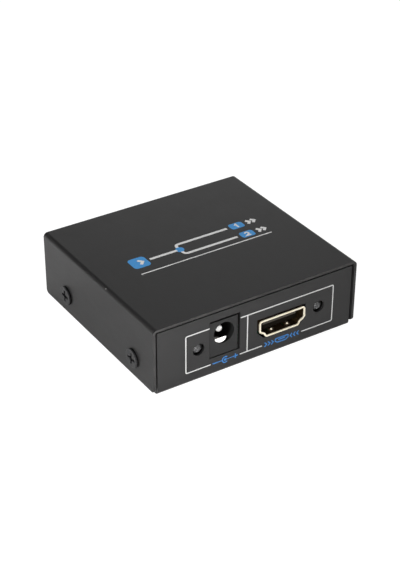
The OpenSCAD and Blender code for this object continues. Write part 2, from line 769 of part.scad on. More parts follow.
module jack_centre_pin() {
    tip_r = pin_d / 4;
    pin_r = pin_d / 2;
    nose = [for (angle = [0:15:90]) [pin_r - tip_r + tip_r * sin(angle), tip_r - tip_r * cos(angle)]];
    free_l = jack_bore_l - pin_setback;
    color("silver") at_jack() {
        translate([0, pin_setback, jack_axis_h]) rotate([-90, 0, 0])
            rotate_extrude() polygon(concat([[0, 0]], nose, [[pin_r, free_l], [0, free_l]]));
        jack_round(pin_root_d, jack_bore_l, jack_l + press_gap + terminal_t - jack_bore_l);
        pin_terminal();
    }
}

// Cylinder across the jack on the axis of the leaf's eye
module eye_round(diameter, width) {
    translate([-width / 2, leaf_root, leaf_root_h]) rotate([0, 90, 0]) cylinder(d = diameter, h = width);
}

module jack_sleeve_leaf() {
    color("silver") at_jack() {
        along_x(leaf_w) polygon(strip(LEAF, leaf_t));
        eye_round(eye_d, leaf_w);
    }
}

// Blade of the sleeve terminal in the board, or its slot when a gap is given
module sleeve_blade(gap = 0) {
    top = gap > 0 ? over : leaf_root_h - eye_d / 2 - eye_gap;
    front = leaf_root - terminal_t / 2 - gap;
    block(terminal_w + 2 * gap, front, terminal_t + 2 * gap, leg_bottom - gap, top);
}

module jack_sleeve_terminal() {
    saddle_r = eye_d / 2 + eye_gap;
    color("silver") at_jack() difference() {
        union() {
            sleeve_blade();
            block(leaf_w, leaf_root - saddle_r, 2 * saddle_r, saddle_lift, leaf_root_h);
            block(leaf_w, leaf_root, saddle_r + terminal_t / 2, saddle_lift, leaf_root_h + saddle_r);
        }
        eye_round(2 * saddle_r, leaf_w + 2 * over);
        block(leaf_w + 2 * over, leaf_root - 2 * saddle_r, 2 * saddle_r, leaf_root_h - leaf_t, jack_axis_h);
    }
}

// Blade of the switch contact in the board, or its slot when a gap is given
module switch_blade(gap = 0) {
    top = gap > 0 ? over : finger_h + finger_t;
    translate([switch_x, 0, 0])
        block(terminal_t + 2 * gap, finger_y - gap, finger_l + 2 * gap, leg_bottom - gap, top);
}

module jack_switch_contact() {
    color("silver") at_jack() {
        switch_blade();
        translate([switch_x, finger_y, finger_h])
            cube([finger_reach - leaf_w / 2 - switch_x, finger_l, finger_t]);
    }
}

// Cylinder along the depth of a lamp, on its axis
module lamp_round(diameter, depth, length) {
    translate([0, depth, led_axis_h]) rotate([-90, 0, 0]) cylinder(d = diameter, h = length);
}

module lamp(place) {
    color("#8a8a86") at_panel(place) {
        translate([0, led_inset + led_d / 2, led_axis_h]) sphere(d = led_d);
        lamp_round(led_d, led_inset + led_d / 2, led_l - led_d / 2);
        lamp_round(led_flange_d, led_seat, led_flange_t);
    }
}

module power_led() { lamp(LEDS[0]); }
module input_led() { lamp(LEDS[1]); }
module output_1_led() { lamp(LEDS[2]); }
module output_2_led() { lamp(LEDS[3]); }

module led_holders() {
    color("#202022") for (place = LEDS) at_panel(place) difference() {
        block(holder_w, holder_y, led_seat - holder_y, 0, led_axis_h + holder_over);
        lamp_round(led_d + 2 * thread_gap, 0, led_l);
    }
}

// Two leads of a lamp, or the holes for them when a gap is given
module lamp_leads(gap = 0) {
    top = gap > 0 ? over : led_axis_h;
    side_l = lead_t + 2 * gap;
    for (side = [-1, 1]) translate([side * led_pitch / 2, 0, 0]) {
        block(side_l, lead_y - lead_t - gap, side_l, leg_bottom - gap, top);
        if (gap == 0) block(lead_t, lead_y - lead_back, lead_back, led_axis_h - lead_t, led_axis_h);
    }
}

module led_leads() { color("silver") for (place = LEDS) at_panel(place) lamp_leads(); }

// One bent chip lead beside the face x = 0, with its foot on the board
module chip_lead(width, height) {
    bend = chip_lead_l / 2 - chip_lead_t;
    translate([0, -width / 2, 0]) {
        translate([0, 0, height - chip_lead_t]) cube([chip_lead_l / 2, width, chip_lead_t]);
        translate([bend, 0, 0]) cube([chip_lead_t, width, height]);
        translate([bend, 0, 0]) cube([chip_lead_l - bend, width, chip_lead_t]);
    }
}

// Row of leads along one side of a chip, centred, beside the face x = face
module lead_row(face, count, pitch, width, height) {
    for (i = [0:count - 1]) translate([face, (i - (count - 1) / 2) * pitch, 0]) chip_lead(width, height);
}

module splitter_chip() {
    color("#1a1a1b") at_board(CHIP) block(chip_w, -chip_w / 2, chip_w, chip_lift, chip_lift + chip_t);
}

module splitter_chip_leads() {
    pitch = chip_w / (chip_leads + 2);
    color("silver") at_board(CHIP) for (turn = [0:90:270]) rotate(turn)
        lead_row(chip_w / 2, chip_leads, pitch, pitch / 2, chip_lift + chip_t / 2);
}

module memory_chips() {
    color("#1a1a1b") for (spot = MEMORIES) at_board(spot)
        block(memory_w, -memory_l / 2, memory_l, chip_lift, chip_lift + chip_t);
}

module memory_chip_leads() {
    pitch = memory_l / memory_leads;
    color("silver") for (spot = MEMORIES) at_board(spot) for (turn = [0, 180]) rotate(turn)
        lead_row(memory_w / 2, memory_leads, pitch, pitch / 3, chip_lift + chip_t / 2);
}

module regulator() {
    color("#1a1a1b") at_board(REGULATOR)
        block(regulator_w, -regulator_l / 2, regulator_l, chip_lift, chip_lift + regulator_t);
}

module regulator_leads() {
    height = chip_lift + regulator_t / 2;
    color("silver") at_board(REGULATOR) {
        lead_row(regulator_w / 2, 3, regulator_l / 3, regulator_l / 9, height);
        rotate(180) lead_row(regulator_w / 2, 1, regulator_l, regulator_l / 2, height);
    }
}

module capacitor_bases() {
    color("#1a1a1b") for (spot = CANS) at_board(spot) block(can_d, -can_d / 2, can_d, 0, can_base_h);
}

module capacitor_cans() {
    color("silver") for (spot = CANS) at_board(spot) translate([0, 0, can_base_h])
        cylinder(d = can_d, h = can_h);
}

module crystal_can() {
    color("silver") at_board(CRYSTAL) linear_extrude(crystal_h) {
        square([crystal_l - crystal_w, crystal_w], center = true);
        for (side = [-1, 1]) translate([side * (crystal_l - crystal_w) / 2, 0]) circle(d = crystal_w);
    }
}

module power_inductor() {
    color("#4a4a4c") at_board(INDUCTOR) block(inductor_w, -inductor_w / 2, inductor_w, 0, inductor_h);
}

module ceramic_capacitors() {
    color("tan") for (spot = CERAMICS) at_board(spot)
        block(ceramic_l, -ceramic_l / 4, ceramic_l / 2, 0, ceramic_l / 2);
}

module chip_resistors() {
    color("#1a1a1b") for (spot = RESISTORS) at_board(spot)
        block(resistor_l, -resistor_l / 4, resistor_l / 2, 0, resistor_l / 3);
}

module surge_arrays() {
    depth = socket_back + contact_back + contact_row + contact_foot + surge_gap;
    color("#1a1a1b") for (place = SOCKETS) at_socket(place)
        block(surge_l, depth, surge_l / 2, 0, surge_l / 4);
}

top_cover();
base_chassis();
screw_left_front();
screw_left_rear();
screw_right_front();
screw_right_rear();
circuit_board();
board_standoffs();
board_screws();
input_socket_shell();
input_socket_insulator();
input_socket_contacts();
output_1_socket_shell();
output_1_socket_insulator();
output_1_socket_contacts();
output_2_socket_shell();
output_2_socket_insulator();
output_2_socket_contacts();
jack_body();
jack_centre_pin();
jack_sleeve_leaf();
jack_sleeve_terminal();
jack_switch_contact();
power_led();
input_led();
output_1_led();
output_2_led();
led_holders();
led_leads();
splitter_chip();
splitter_chip_leads();
memory_chips();
memory_chip_leads();
regulator();
regulator_leads();
capacitor_cans();
capacitor_bases();
crystal_can();
power_inductor();
ceramic_capacitors();
chip_resistors();
surge_arrays();
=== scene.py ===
"""Looks of a two-way video splitter: coat, printed marks, sockets, jack, lamps, board, studio and camera."""

import logging
import math
from dataclasses import dataclass, field
from enum import Enum
from functools import cache

import bmesh
import bpy
from mathutils import Matrix, Vector


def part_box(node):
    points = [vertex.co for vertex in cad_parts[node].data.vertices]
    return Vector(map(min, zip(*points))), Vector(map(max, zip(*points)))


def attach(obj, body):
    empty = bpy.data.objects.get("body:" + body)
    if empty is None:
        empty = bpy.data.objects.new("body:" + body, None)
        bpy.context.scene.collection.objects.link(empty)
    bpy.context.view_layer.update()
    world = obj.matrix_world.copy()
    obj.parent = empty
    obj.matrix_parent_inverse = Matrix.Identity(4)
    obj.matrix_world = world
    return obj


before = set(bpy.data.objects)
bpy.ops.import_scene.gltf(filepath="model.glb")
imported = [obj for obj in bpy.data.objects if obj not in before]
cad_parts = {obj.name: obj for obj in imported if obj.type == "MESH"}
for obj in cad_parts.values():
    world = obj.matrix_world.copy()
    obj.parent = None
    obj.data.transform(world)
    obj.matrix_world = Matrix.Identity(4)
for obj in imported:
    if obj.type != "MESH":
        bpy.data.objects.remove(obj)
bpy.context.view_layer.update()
LOG = logging.getLogger("splitter")

MM = 0.001
CASE = "case"
NOISE_MIDDLE = 0.5
SMOOTH_LAYERS = 0.0
FINE_LAYERS = 3.0
WELD_GAP = 1e-6
FLAT_TURN = 0.4
AXIS_X, AXIS_Y, AXIS_Z = range(3)

Point = tuple[float, float]
Triple = tuple[float, float, float]
Colour = tuple[float, float, float, float]
Values = dict[str | int, object]


class Wire:
    """A value in a shader, held as the socket that gives it; arithmetic on it adds Math nodes."""

    def __init__(self, tree: "ShaderTree", socket: bpy.types.NodeSocket) -> None:
        """Keep the socket and the tree it is in."""
        self.tree = tree
        self.socket = socket

    def out(self, name: str) -> "Wire":
        """Give another output of the same node."""
        return Wire(self.tree, self.tree.find(self.socket.node.outputs, name))

    def math(self, operation: str, *values: "Wire | float") -> "Wire":
        """Add a Math node that works on the values."""
        return self.tree.add("ShaderNodeMath", {"operation": operation}, dict(enumerate(values)))

    def __add__(self, other: "Wire | float") -> "Wire":
        """Add."""
        return self.math("ADD", self, other)

    def __radd__(self, other: float) -> "Wire":
        """Add to a number."""
        return self.math("ADD", other, self)

    def __sub__(self, other: "Wire | float") -> "Wire":
        """Subtract."""
        return self.math("SUBTRACT", self, other)

    def __rsub__(self, other: float) -> "Wire":
        """Subtract from a number."""
        return self.math("SUBTRACT", other, self)

    def __mul__(self, other: "Wire | float") -> "Wire":
        """Multiply."""
        return self.math("MULTIPLY", self, other)

    def __rmul__(self, other: float) -> "Wire":
        """Multiply a number."""
        return self.math("MULTIPLY", other, self)

    def __abs__(self) -> "Wire":
        """Drop the sign."""
        return self.math("ABSOLUTE", self)

    def part(self) -> "Wire":
        """Give the part after the decimal point."""
        return self.math("FRACT", self)

    def most(self, other: "Wire | float") -> "Wire":
        """Give the larger of two values."""
        return self.math("MAXIMUM", self, other)

    def rise(self, low: float, high: float) -> "Wire":
        """Go smoothly from 0 at the low value to 1 at the high one, which may be the smaller number."""
        sockets = {"Value": self, "From Min": low, "From Max": high}
        return self.tree.add("ShaderNodeMapRange", {"interpolation_type": "SMOOTHSTEP"}, sockets)

    def sway(self, by: float) -> "Wire":
        """Give how far a noise is from its middle, times a number."""
        return (self - NOISE_MIDDLE) * by


class ShaderTree:
    """Builds one node tree, with a method for its nodes and a few for patterns that finishes share."""

    def __init__(self, tree: bpy.types.NodeTree) -> None:
        """Start with no nodes in the tree.

        Args:
            tree: Node tree of a material or world.
        """
        self.nodes = tree.nodes
        self.links = tree.links
        self.nodes.clear()

    @staticmethod
    def find(sockets: bpy.types.bpy_prop_collection, key: str | int) -> bpy.types.NodeSocket:
        """Find a socket by its number, identifier or name.

        Args:
            sockets: A node's inputs or outputs.
            key: The number, identifier or name.

        Returns:
            The first socket that matches.
        """
        if isinstance(key, int):
            return sockets[key]
        return next(s for s in sockets if key in (s.identifier, s.name))

    def add(
        self,
        kind: str,
        settings: dict[str, object] | None = None,
        sockets: Values | None = None,
        out: str | int = 0,
    ) -> Wire:
        """Add a node.

        Args:
            kind: The node's type.
            settings: Its settings, which are set first.
            sockets: Values, or wires to link, by socket.
            out: The output that the returned wire holds.

        Returns:
            A wire on that output.
        """
        node = self.nodes.new(kind)
        for key, value in (settings or {}).items():
            setattr(node, key, value)
        for key, value in (sockets or {}).items():
            socket = self.find(node.inputs, key)
            if isinstance(value, Wire):
                self.links.new(value.socket, socket)
            else:
                socket.default_value = value
        return Wire(self, self.find(node.outputs, out)) if node.outputs else Wire(self, node.inputs[0])

    def place(self) -> Wire:
        """Give the place on the object, in millimetres of the part's frame."""
        at = self.add("ShaderNodeTexCoord", out="Object")
        return self.add("ShaderNodeVectorMath", {"operation": "SCALE"}, {0: at, "Scale": 1 / MM})

    def split(self, vector: Wire) -> tuple[Wire, Wire, Wire]:
        """Give the X, Y and Z of a vector."""
        x = self.add("ShaderNodeSeparateXYZ", None, {0: vector})
        return x, x.out("Y"), x.out("Z")

    def stretch(self, vector: Wire, by: Triple) -> Wire:
        """Multiply a vector's parts."""
        return self.add("ShaderNodeVectorMath", {"operation": "MULTIPLY"}, {0: vector, 1: by})

    def noise(self, at: Wire, grain: float, detail: float = 2.0, rough: float = 0.5) -> Wire:
        """Add soft noise around 0.5, with spots of a grain in millimetres and a share of finer layers."""
        sockets = {"Vector": at, "Scale": 1 / grain, "Detail": detail, "Roughness": rough}
        return self.add("ShaderNodeTexNoise", None, sockets)

    def cells(self, at: Wire, size: float) -> Wire:
        """Give the distance from scattered points that lie about a size in millimetres apart."""
        return self.add("ShaderNodeTexVoronoi", None, {"Vector": at, "Scale": 1 / size})

    def mix(self, share: Wire, first: "Wire | Colour", second: "Wire | Colour") -> Wire:
        """Mix two colours, with a share of the second from 0 to 1."""
        sockets = {"Factor_Float": share, "A_Color": first, "B_Color": second}
        return self.add("ShaderNodeMix", {"data_type": "RGBA"}, sockets, "Result_Color")

    def tone(self, share: Wire, colour: Colour, spread: Point) -> Wire:
        """Vary a colour between a darker and a lighter tone, given as factors."""
        return self.mix(share, tinted(colour, spread[0]), tinted(colour, spread[1]))

    def bump(self, height: Wire, depth: float) -> Wire:
        """Turn a height from 0 to 1 into a normal, for a depth in millimetres."""
        return self.add("ShaderNodeBump", None, {"Height": height, "Distance": depth * MM})


class Finish:
    """Base of the finishes: each gives the values of its shader's sockets."""

    name: str

    def shade(self, tree: ShaderTree) -> Values:
        """Build in a tree, and give the shader's values and wires by socket."""
        raise NotImplementedError


@cache
def material_of(finish: Finish) -> bpy.types.Material:
    """Make a finish's material once.

    Args:
        finish: The finish.

    Returns:
        Its material.
    """
    material = bpy.data.materials.new(finish.name)
    material.use_nodes = True
    tree = ShaderTree(material.node_tree)
    shader = tree.add("ShaderNodeBsdfPrincipled", None, finish.shade(tree))
    tree.add("ShaderNodeOutputMaterial", None, {"Surface": shader})
    return material


def grey(level: float) -> Colour:
    """Give a grey as a colour."""
    return (level, level, level, 1.0)


def tinted(colour: Colour, by: float) -> Colour:
    """Give a colour made lighter or darker by a factor."""
    return (colour[0] * by, colour[1] * by, colour[2] * by, 1.0)


def ends_of(node: str, axis: int) -> Point:
    """Give where a CAD piece begins and ends along an axis, in millimetres."""
    low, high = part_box(node)
    return low[axis] / MM, high[axis] / MM


@dataclass(frozen=True)
class SatinCoat(Finish):
    """Black baked coat on sheet steel, with a fine grain, handling shine, one small chip, and front and rear
    ends lightened partly by wear and partly by a painted highlight.
    """

    name: str = "satin_black_coat"
    colour: Colour = (0.0210, 0.0205, 0.0205, 1.0)
    spread: Point = (0.82, 1.18)
    # worn_edge_highlight: lighter colour at the front and rear ends, partly wear and partly a painted
    # highlight of the cut edges catching light
    worn_edge_highlight: Colour = (0.048, 0.047, 0.046, 1.0)
    fleck: Colour = (0.62, 0.61, 0.58, 1.0)
    roughness: float = 0.40
    grain: float = 0.34
    grain_depth: float = 0.012
    grain_detail: Point = (FINE_LAYERS, 0.6)
    grain_shine: float = 0.06
    cloud: float = 7.0
    cloud_share: float = 0.6
    cloud_shine: float = 0.10
    streak: float = 1.6
    streak_stretch: Triple = (1.0, 0.25, 1.0)
    streak_shine: float = 0.05
    rub: float = 5.0
    rub_cover: Point = (0.30, 0.70)
    worn_edge_highlight_share: float = 0.7
    rub_shine: float = 0.08
    left: float = ends_of("top_cover", AXIS_X)[0]
    half_d: float = ends_of("top_cover", AXIS_Y)[1]
    top: float = ends_of("top_cover", AXIS_Z)[1]
    edge: float = 0.16
    fleck_in: Point = (0.35, 0.25)
    fleck_y: float = -5.0
    fleck_r: Point = (0.22, 0.132)

    def shade(self, tree: ShaderTree) -> Values:
        """Give the coat's values.

        Args:
            tree: The tree to build in.

        Returns:
            Values and wires by socket.
        """
        at = tree.place()
        y = tree.split(at)[1]
        grain = tree.noise(at, self.grain, *self.grain_detail)
        cloud = tree.noise(at, self.cloud)
        streak = tree.noise(tree.stretch(at, self.streak_stretch), self.streak)
        # Partly wear, partly painted highlight: a patchy mask lightens the coat at its front and rear ends
        end = abs(y).rise(self.half_d - self.edge, self.half_d)
        rub = end * tree.noise(at, self.rub).rise(*self.rub_cover)
        spot = (self.left + self.fleck_in[0], self.fleck_y, self.top - self.fleck_in[1])
        away = tree.add("ShaderNodeVectorMath", {"operation": "DISTANCE"}, {0: at, 1: spot}, "Value")
        fleck = away.rise(*self.fleck_r)
        blend = cloud * self.cloud_share + grain * (1 - self.cloud_share)
        worn = tree.mix(rub * self.worn_edge_highlight_share, tree.tone(blend, self.colour, self.spread), self.worn_edge_highlight)
        shine = cloud.sway(self.cloud_shine) + streak.sway(self.streak_shine) + grain.sway(self.grain_shine)
        return {
            "Base Color": tree.mix(fleck, worn, self.fleck),
            "Roughness": self.roughness + shine - rub * self.rub_shine,
            "Normal": tree.bump(grain, self.grain_depth),
        }


@dataclass(frozen=True)
class Ink(Finish):
    """Printed ink, a little uneven, with pinholes where the coat's grain shows."""

    name: str
    colour: Colour
    roughness: float = 0.55
    spread: Point = (0.86, 1.06)
    cover: float = 0.55
    cover_shine: float = 0.15
    hole_apart: float = 0.42
    hole_r: Point = (0.16, 0.05)
    hole_patch: float = 2.2
    hole_cover: Point = (0.52, 0.62)
    hole_share: float = 0.8
    under: Colour = grey(0.03)
    grain: float = 0.3
    grain_depth: float = 0.006

    def shade(self, tree: ShaderTree) -> Values:
        """Give the ink's values.

        Args:
            tree: The tree to build in.

        Returns:
            Values and wires by socket.
        """
        at = tree.place()
        cover = tree.noise(at, self.cover, FINE_LAYERS)
        patch = tree.noise(at, self.hole_patch).rise(*self.hole_cover)
        holes = tree.cells(at, self.hole_apart).rise(*self.hole_r) * patch
        body = tree.tone(cover, self.colour, self.spread)
        return {
            "Base Color": tree.mix(holes * self.hole_share, body, self.under),
            "Roughness": self.roughness + cover.sway(self.cover_shine),
            "Normal": tree.bump(tree.noise(at, self.grain), self.grain_depth),
        }


@dataclass(frozen=True)
class Plating(Finish):
    """Bright plated metal with faint drawing lines and a little tarnish in patches."""

    name: str
    colour: Colour
    tarnish: Colour
    roughness: float
    lines: Triple = (1.0, 0.12, 1.0)
    metallic: float = 1.0
    line: float = 0.16
    line_depth: float = 0.003
    line_shine: float = 0.14
    patch: float = 2.4
    patch_cover: Point = (0.48, 0.72)
    patch_share: float = 0.55
    patch_shine: float = 0.08

    def shade(self, tree: ShaderTree) -> Values:
        """Give the plating's values.

        Args:
            tree: The tree to build in.

        Returns:
            Values and wires by socket.
        """
        at = tree.place()
        line = tree.noise(tree.stretch(at, self.lines), self.line)
        patch = tree.noise(at, self.patch, FINE_LAYERS).rise(*self.patch_cover)
        return {
            "Base Color": tree.mix(patch * self.patch_share, self.colour, self.tarnish),
            "Metallic": self.metallic,
            "Roughness": self.roughness + line.sway(self.line_shine) + patch * self.patch_shine,
            "Normal": tree.bump(line, self.line_depth),
        }


@dataclass(frozen=True)
class ShellPlating(Plating):
    """Pale plating of the socket shells, bright at the lip, with painted shade turning it dark brown and dull
    deeper in.
    """

    lip_y: float = ends_of("output_1_socket_shell", AXIS_Y)[1]
    # film: painted shade, the dark brown colour given to the plating deeper in the socket
    film: Colour = (0.030, 0.018, 0.008, 1.0)
    recess_shade_depth: Point = (0.10, 0.40)
    recess_shade_shine: float = 0.22

    def shade(self, tree: ShaderTree) -> Values:
        """Give the plating's values.

        Args:
            tree: The tree to build in.

        Returns:
            Values and wires by socket.
        """
        values = super().shade(tree)
        # Painted shade: darken and dull the plating with depth behind the lip
        depth = self.lip_y - abs(tree.split(tree.place())[1])
        recess_shade = depth.rise(*self.recess_shade_depth)
        values["Base Color"] = tree.mix(recess_shade, values["Base Color"], self.film)
        values["Roughness"] = values["Roughness"] + recess_shade * self.recess_shade_shine
        return values


@dataclass(frozen=True)
class BlackOxide(Finish):
    """Blackened steel of the screws, worn a little bright on top of the head, with painted shade darkening
    its recess.
    """

    name: str = "black_screw_steel"
    colour: Colour = (0.018, 0.018, 0.019, 1.0)
    bright: Colour = (0.16, 0.155, 0.15, 1.0)
    # head_recess_shade: painted shade, a near-black colour for the cross recess of the head
    head_recess_shade: Colour = grey(0.0015)
    head_x: float = ends_of("screw_right_front", AXIS_X)[1]
    head_recess_shade_depth: Point = (0.25, 0.50)
    worn_depth: Point = (0.25, 0.0)
    worn_cover: Point = (0.52, 0.72)
    worn_share: float = 0.6
    worn_metal: float = 0.5
    roughness: float = 0.36
    head_recess_shade_shine: float = 0.3
    scuff: float = 0.5
    scuff_detail: Point = (FINE_LAYERS, 0.6)
    scuff_depth: float = 0.004
    scuff_shine: float = 0.2

    def shade(self, tree: ShaderTree) -> Values:
        """Give the blackened steel's values.

        Args:
            tree: The tree to build in.

        Returns:
            Values and wires by socket.
        """
        at = tree.place()
        depth = self.head_x - abs(tree.split(at)[0])
        scuff = tree.noise(at, self.scuff, *self.scuff_detail)
        worn = depth.rise(*self.worn_depth) * scuff.rise(*self.worn_cover)
        # Painted shade: the recess goes near black with depth below the head's top
        head_recess_shade = depth.rise(*self.head_recess_shade_depth)
        body = tree.mix(head_recess_shade, self.colour, self.head_recess_shade)
        return {
            "Base Color": tree.mix(worn * self.worn_share, body, self.bright),
            "Metallic": worn * self.worn_metal,
            "Roughness": self.roughness + scuff.sway(self.scuff_shine) + head_recess_shade * self.head_recess_shade_shine,
            "Normal": tree.bump(scuff, self.scuff_depth),
        }


@dataclass(frozen=True)
class Moulded(Finish):
    """Moulded plastic with a fine spark-eroded grain and faint flow marks."""

    name: str
    colour: Colour
    roughness: float
    grain: float = 0.18
    depth: float = 0.006
    gloss: float = 0.5
    spread: Point = (0.8, 1.2)
    grain_shine: float = 0.08
    flow: float = 3.0
    flow_stretch: Triple = (1.0, 0.35, 1.0)
    flow_shine: float = 0.12

    def shade(self, tree: ShaderTree) -> Values:
        """Give the plastic's values.

        Args:
            tree: The tree to build in.

        Returns:
            Values and wires by socket.
        """
        at = tree.place()
        grain = tree.noise(at, self.grain)
        flow = tree.noise(tree.stretch(at, self.flow_stretch), self.flow)
        return {
            "Base Color": tree.tone(flow, self.colour, self.spread),
            "Roughness": self.roughness + flow.sway(self.flow_shine) + grain.sway(self.grain_shine),
            "Specular IOR Level": self.gloss,
            "Normal": tree.bump(grain, self.depth),
        }


@dataclass(frozen=True)
class TongueResin(Moulded):
    """Black resin of a socket's tongue, with a pale highlight painted along its upper front edge."""

    # edge_highlight: painted highlight colour for the tongue's upper front edge
    edge_highlight: Colour = (0.085, 0.074, 0.062, 1.0)
    front_y: float = ends_of("output_1_socket_insulator", AXIS_Y)[1]
    top_z: float = ends_of("output_1_socket_insulator", AXIS_Z)[1]
    edge_depth: float = 0.40
    edge_drop: Point = (1.925, 1.495)
    fade_y: float = 0.05
    fade_z: float = 0.1

    def shade(self, tree: ShaderTree) -> Values:
        """Give the resin's values.

        Args:
            tree: The tree to build in.

        Returns:
            Values and wires by socket.
        """
        values = super().shade(tree)
        _, y, z = tree.split(tree.place())
        low, high = (self.top_z - drop for drop in self.edge_drop)
        face = self.front_y - self.edge_depth
        front = abs(y).rise(face - self.fade_y, face)
        # Painted highlight: a pale band along the tongue's upper front bevel
        edge = front * z.rise(low, low + self.fade_z) * z.rise(high + self.fade_z, high)
        values["Base Color"] = tree.mix(edge, values["Base Color"], self.edge_highlight)
        return values


@dataclass(frozen=True)
class BoredNylon(Moulded):
    """Black nylon of the jack, with painted shade darkening it down in its bore, where it is also duller."""

    # bore_shade: painted shade, the near-black colour down in the bore
    bore_shade: Colour = (0.0008, 0.0007, 0.0007, 1.0)
    front_y: float = ends_of("jack_body", AXIS_Y)[0]
    bore_shade_depth: Point = (0.85, 2.15)
    bore_shade_shine: float = 0.35

    def shade(self, tree: ShaderTree) -> Values:
        """Give the nylon's values.

        Args:
            tree: The tree to build in.

        Returns:
            Values and wires by socket.
        """
        values = super().shade(tree)
        # Painted shade: darken and dull the nylon with depth into the bore
        recess_shade = (tree.split(tree.place())[1] - self.front_y).rise(*self.bore_shade_depth)
        values["Base Color"] = tree.mix(recess_shade, values["Base Color"], self.bore_shade)
        values["Roughness"] = values["Roughness"] + recess_shade * self.bore_shade_shine
        return values


@dataclass(frozen=True)
class LampResin(Finish):
    """Milky, smoky casting resin of the lamp lenses."""

    name: str = "lamp_epoxy"
    colour: Colour = (0.110, 0.110, 0.112, 1.0)
    roughness: float = 0.26
    haze: float = 0.8
    haze_shine: float = 0.05
    refraction: float = 1.53
    clearness: float = 0.4

    def shade(self, tree: ShaderTree) -> Values:
        """Give the resin's values.

        Args:
            tree: The tree to build in.

        Returns:
            Values and wires by socket.
        """
        haze = tree.noise(tree.place(), self.haze)
        return {
            "Base Color": self.colour,
            "Roughness": self.roughness + haze.sway(self.haze_shine),
            "IOR": self.refraction,
            "Transmission Weight": self.clearness,
        }


@dataclass(frozen=True)
class SolderMask(Finish):
    """Green lacquer over a circuit board, with raised tracks, small tinned holes, and painted shade darkening
    its front and rear ends.
    """

    name: str = "green_solder_mask"
    colour: Colour = (0.006, 0.085, 0.030, 1.0)
    track: Colour = (0.018, 0.165, 0.055, 1.0)
    tin: Colour = (0.60, 0.60, 0.57, 1.0)
    # end: painted shade, the near-black colour of the board's front and rear ends
    end: Colour = (0.004, 0.005, 0.004, 1.0)
    half_d: float = ends_of("circuit_board", AXIS_Y)[1]
    end_shade_depth: Point = (1.05, 0.05)
    lane: Point = (0.9, 5.0)
    lane_grain: float = 6.0
    lane_stretch: Triple = (0.2, 1.0, 0.2)
    lane_band: Point = (0.44, 0.5)
    bend: Point = (0.55, 6.0)
    bend_grain: float = 9.0
    bend_stretch: Triple = (1.0, 0.15, 0.2)
    bend_band: Point = (0.60, 0.66)
    bend_share: float = 0.8
    track_share: float = 0.7
    track_depth: float = 0.03
    hole_apart: float = 3.1
    hole_r: Point = (0.12, 0.10)
    roughness: Point = (0.30, 0.12)

    def shade(self, tree: ShaderTree) -> Values:
        """Give the lacquer's values.

        Args:
            tree: The tree to build in.

        Returns:
            Values and wires by socket.
        """
        at = tree.place()
        x, y, _ = tree.split(at)
        lane_noise = tree.noise(tree.stretch(at, self.lane_stretch), self.lane_grain, SMOOTH_LAYERS)
        bend_noise = tree.noise(tree.stretch(at, self.bend_stretch), self.bend_grain, SMOOTH_LAYERS)
        lane = (x * self.lane[0] + lane_noise * self.lane[1]).part().rise(*self.lane_band)
        bend = (y * self.bend[0] + bend_noise * self.bend[1]).part().rise(*self.bend_band)
        track = lane.most(bend * self.bend_share)
        # Painted shade: darken the board towards its front and rear ends, and leave no holes there
        end = (self.half_d - abs(y)).rise(*self.end_shade_depth)
        hole = tree.cells(at, self.hole_apart).rise(*self.hole_r) * (1.0 - end)
        mask = tree.mix(end, tree.mix(track * self.track_share, self.colour, self.track), self.end)
        return {
            "Base Color": tree.mix(hole, mask, self.tin),
            "Metallic": hole,
            "Roughness": self.roughness[0] + hole * self.roughness[1],
            "Normal": tree.bump(track, self.track_depth),
        }


@dataclass(frozen=True)
class Speckled(Finish):
    """Dull sintered body of a small electrical part, mottled at a fine scale."""

    name: str
    colour: Colour
    roughness: float
    spread: Point = (0.75, 1.2)
    mottle: float = 0.25
    mottle_depth: float = 0.008
    mottle_shine: float = 0.16

    def shade(self, tree: ShaderTree) -> Values:
        """Give the body's values.

        Args:
            tree: The tree to build in.

        Returns:
            Values and wires by socket.
        """
        mottle = tree.noise(tree.place(), self.mottle, FINE_LAYERS)
        return {
            "Base Color": tree.tone(mottle, self.colour, self.spread),
            "Roughness": self.roughness + mottle.sway(self.mottle_shine),
            "Normal": tree.bump(mottle, self.mottle_depth),
        }


COAT = SatinCoat()
SCREW_BLACK = BlackOxide()
WHITE_INK = Ink("white_ink", (0.90, 0.90, 0.89, 1.0))
BLUE_INK = Ink("blue_ink", (0.070, 0.360, 0.800, 1.0))
FRAME_INK = Ink("frame_ink", (0.58, 0.58, 0.57, 1.0))
SIGN_INK = Ink("sign_ink", (0.036, 0.170, 0.440, 1.0))
PALE_GOLD = ShellPlating(
    "pale_gold_plate", (1.0, 0.92, 0.73, 1.0), (0.92, 0.80, 0.56, 1.0), 0.30, metallic=0.4
)
DIMPLE_GOLD = Plating("dimple_gold", (1.0, 0.90, 0.70, 1.0), (0.95, 0.82, 0.58, 1.0), 0.35, metallic=0.2)
CONTACT_GOLD = Plating("contact_gold", (0.95, 0.72, 0.36, 1.0), (0.80, 0.58, 0.28, 1.0), 0.22)
NICKEL = Plating("bright_nickel", (0.80, 0.79, 0.76, 1.0), (0.62, 0.60, 0.56, 1.0), 0.16)
PIN_NICKEL = Plating("pin_nickel", (1.0, 1.0, 0.98, 1.0), (0.90, 0.89, 0.86, 1.0), 0.22, metallic=0.5)
TIN = Plating("tinned_leads", (0.72, 0.72, 0.71, 1.0), (0.52, 0.52, 0.51, 1.0), 0.34)
ALUMINIUM = Plating("can_aluminium", (0.82, 0.82, 0.82, 1.0), (0.70, 0.70, 0.70, 1.0), 0.28, (1.0, 1.0, 0.1))
SOCKET_BLACK = TongueResin("socket_black_resin", (0.005, 0.0035, 0.002, 1.0), 0.55, gloss=0.08)
JACK_BLACK = BoredNylon("jack_black_nylon", grey(0.016), 0.44, 0.24, 0.010)
HOLDER_BLACK = Moulded("holder_black_nylon", grey(0.014), 0.5)
CHIP_BLACK = Moulded("chip_black_epoxy", grey(0.022), 0.58, 0.12, 0.008)
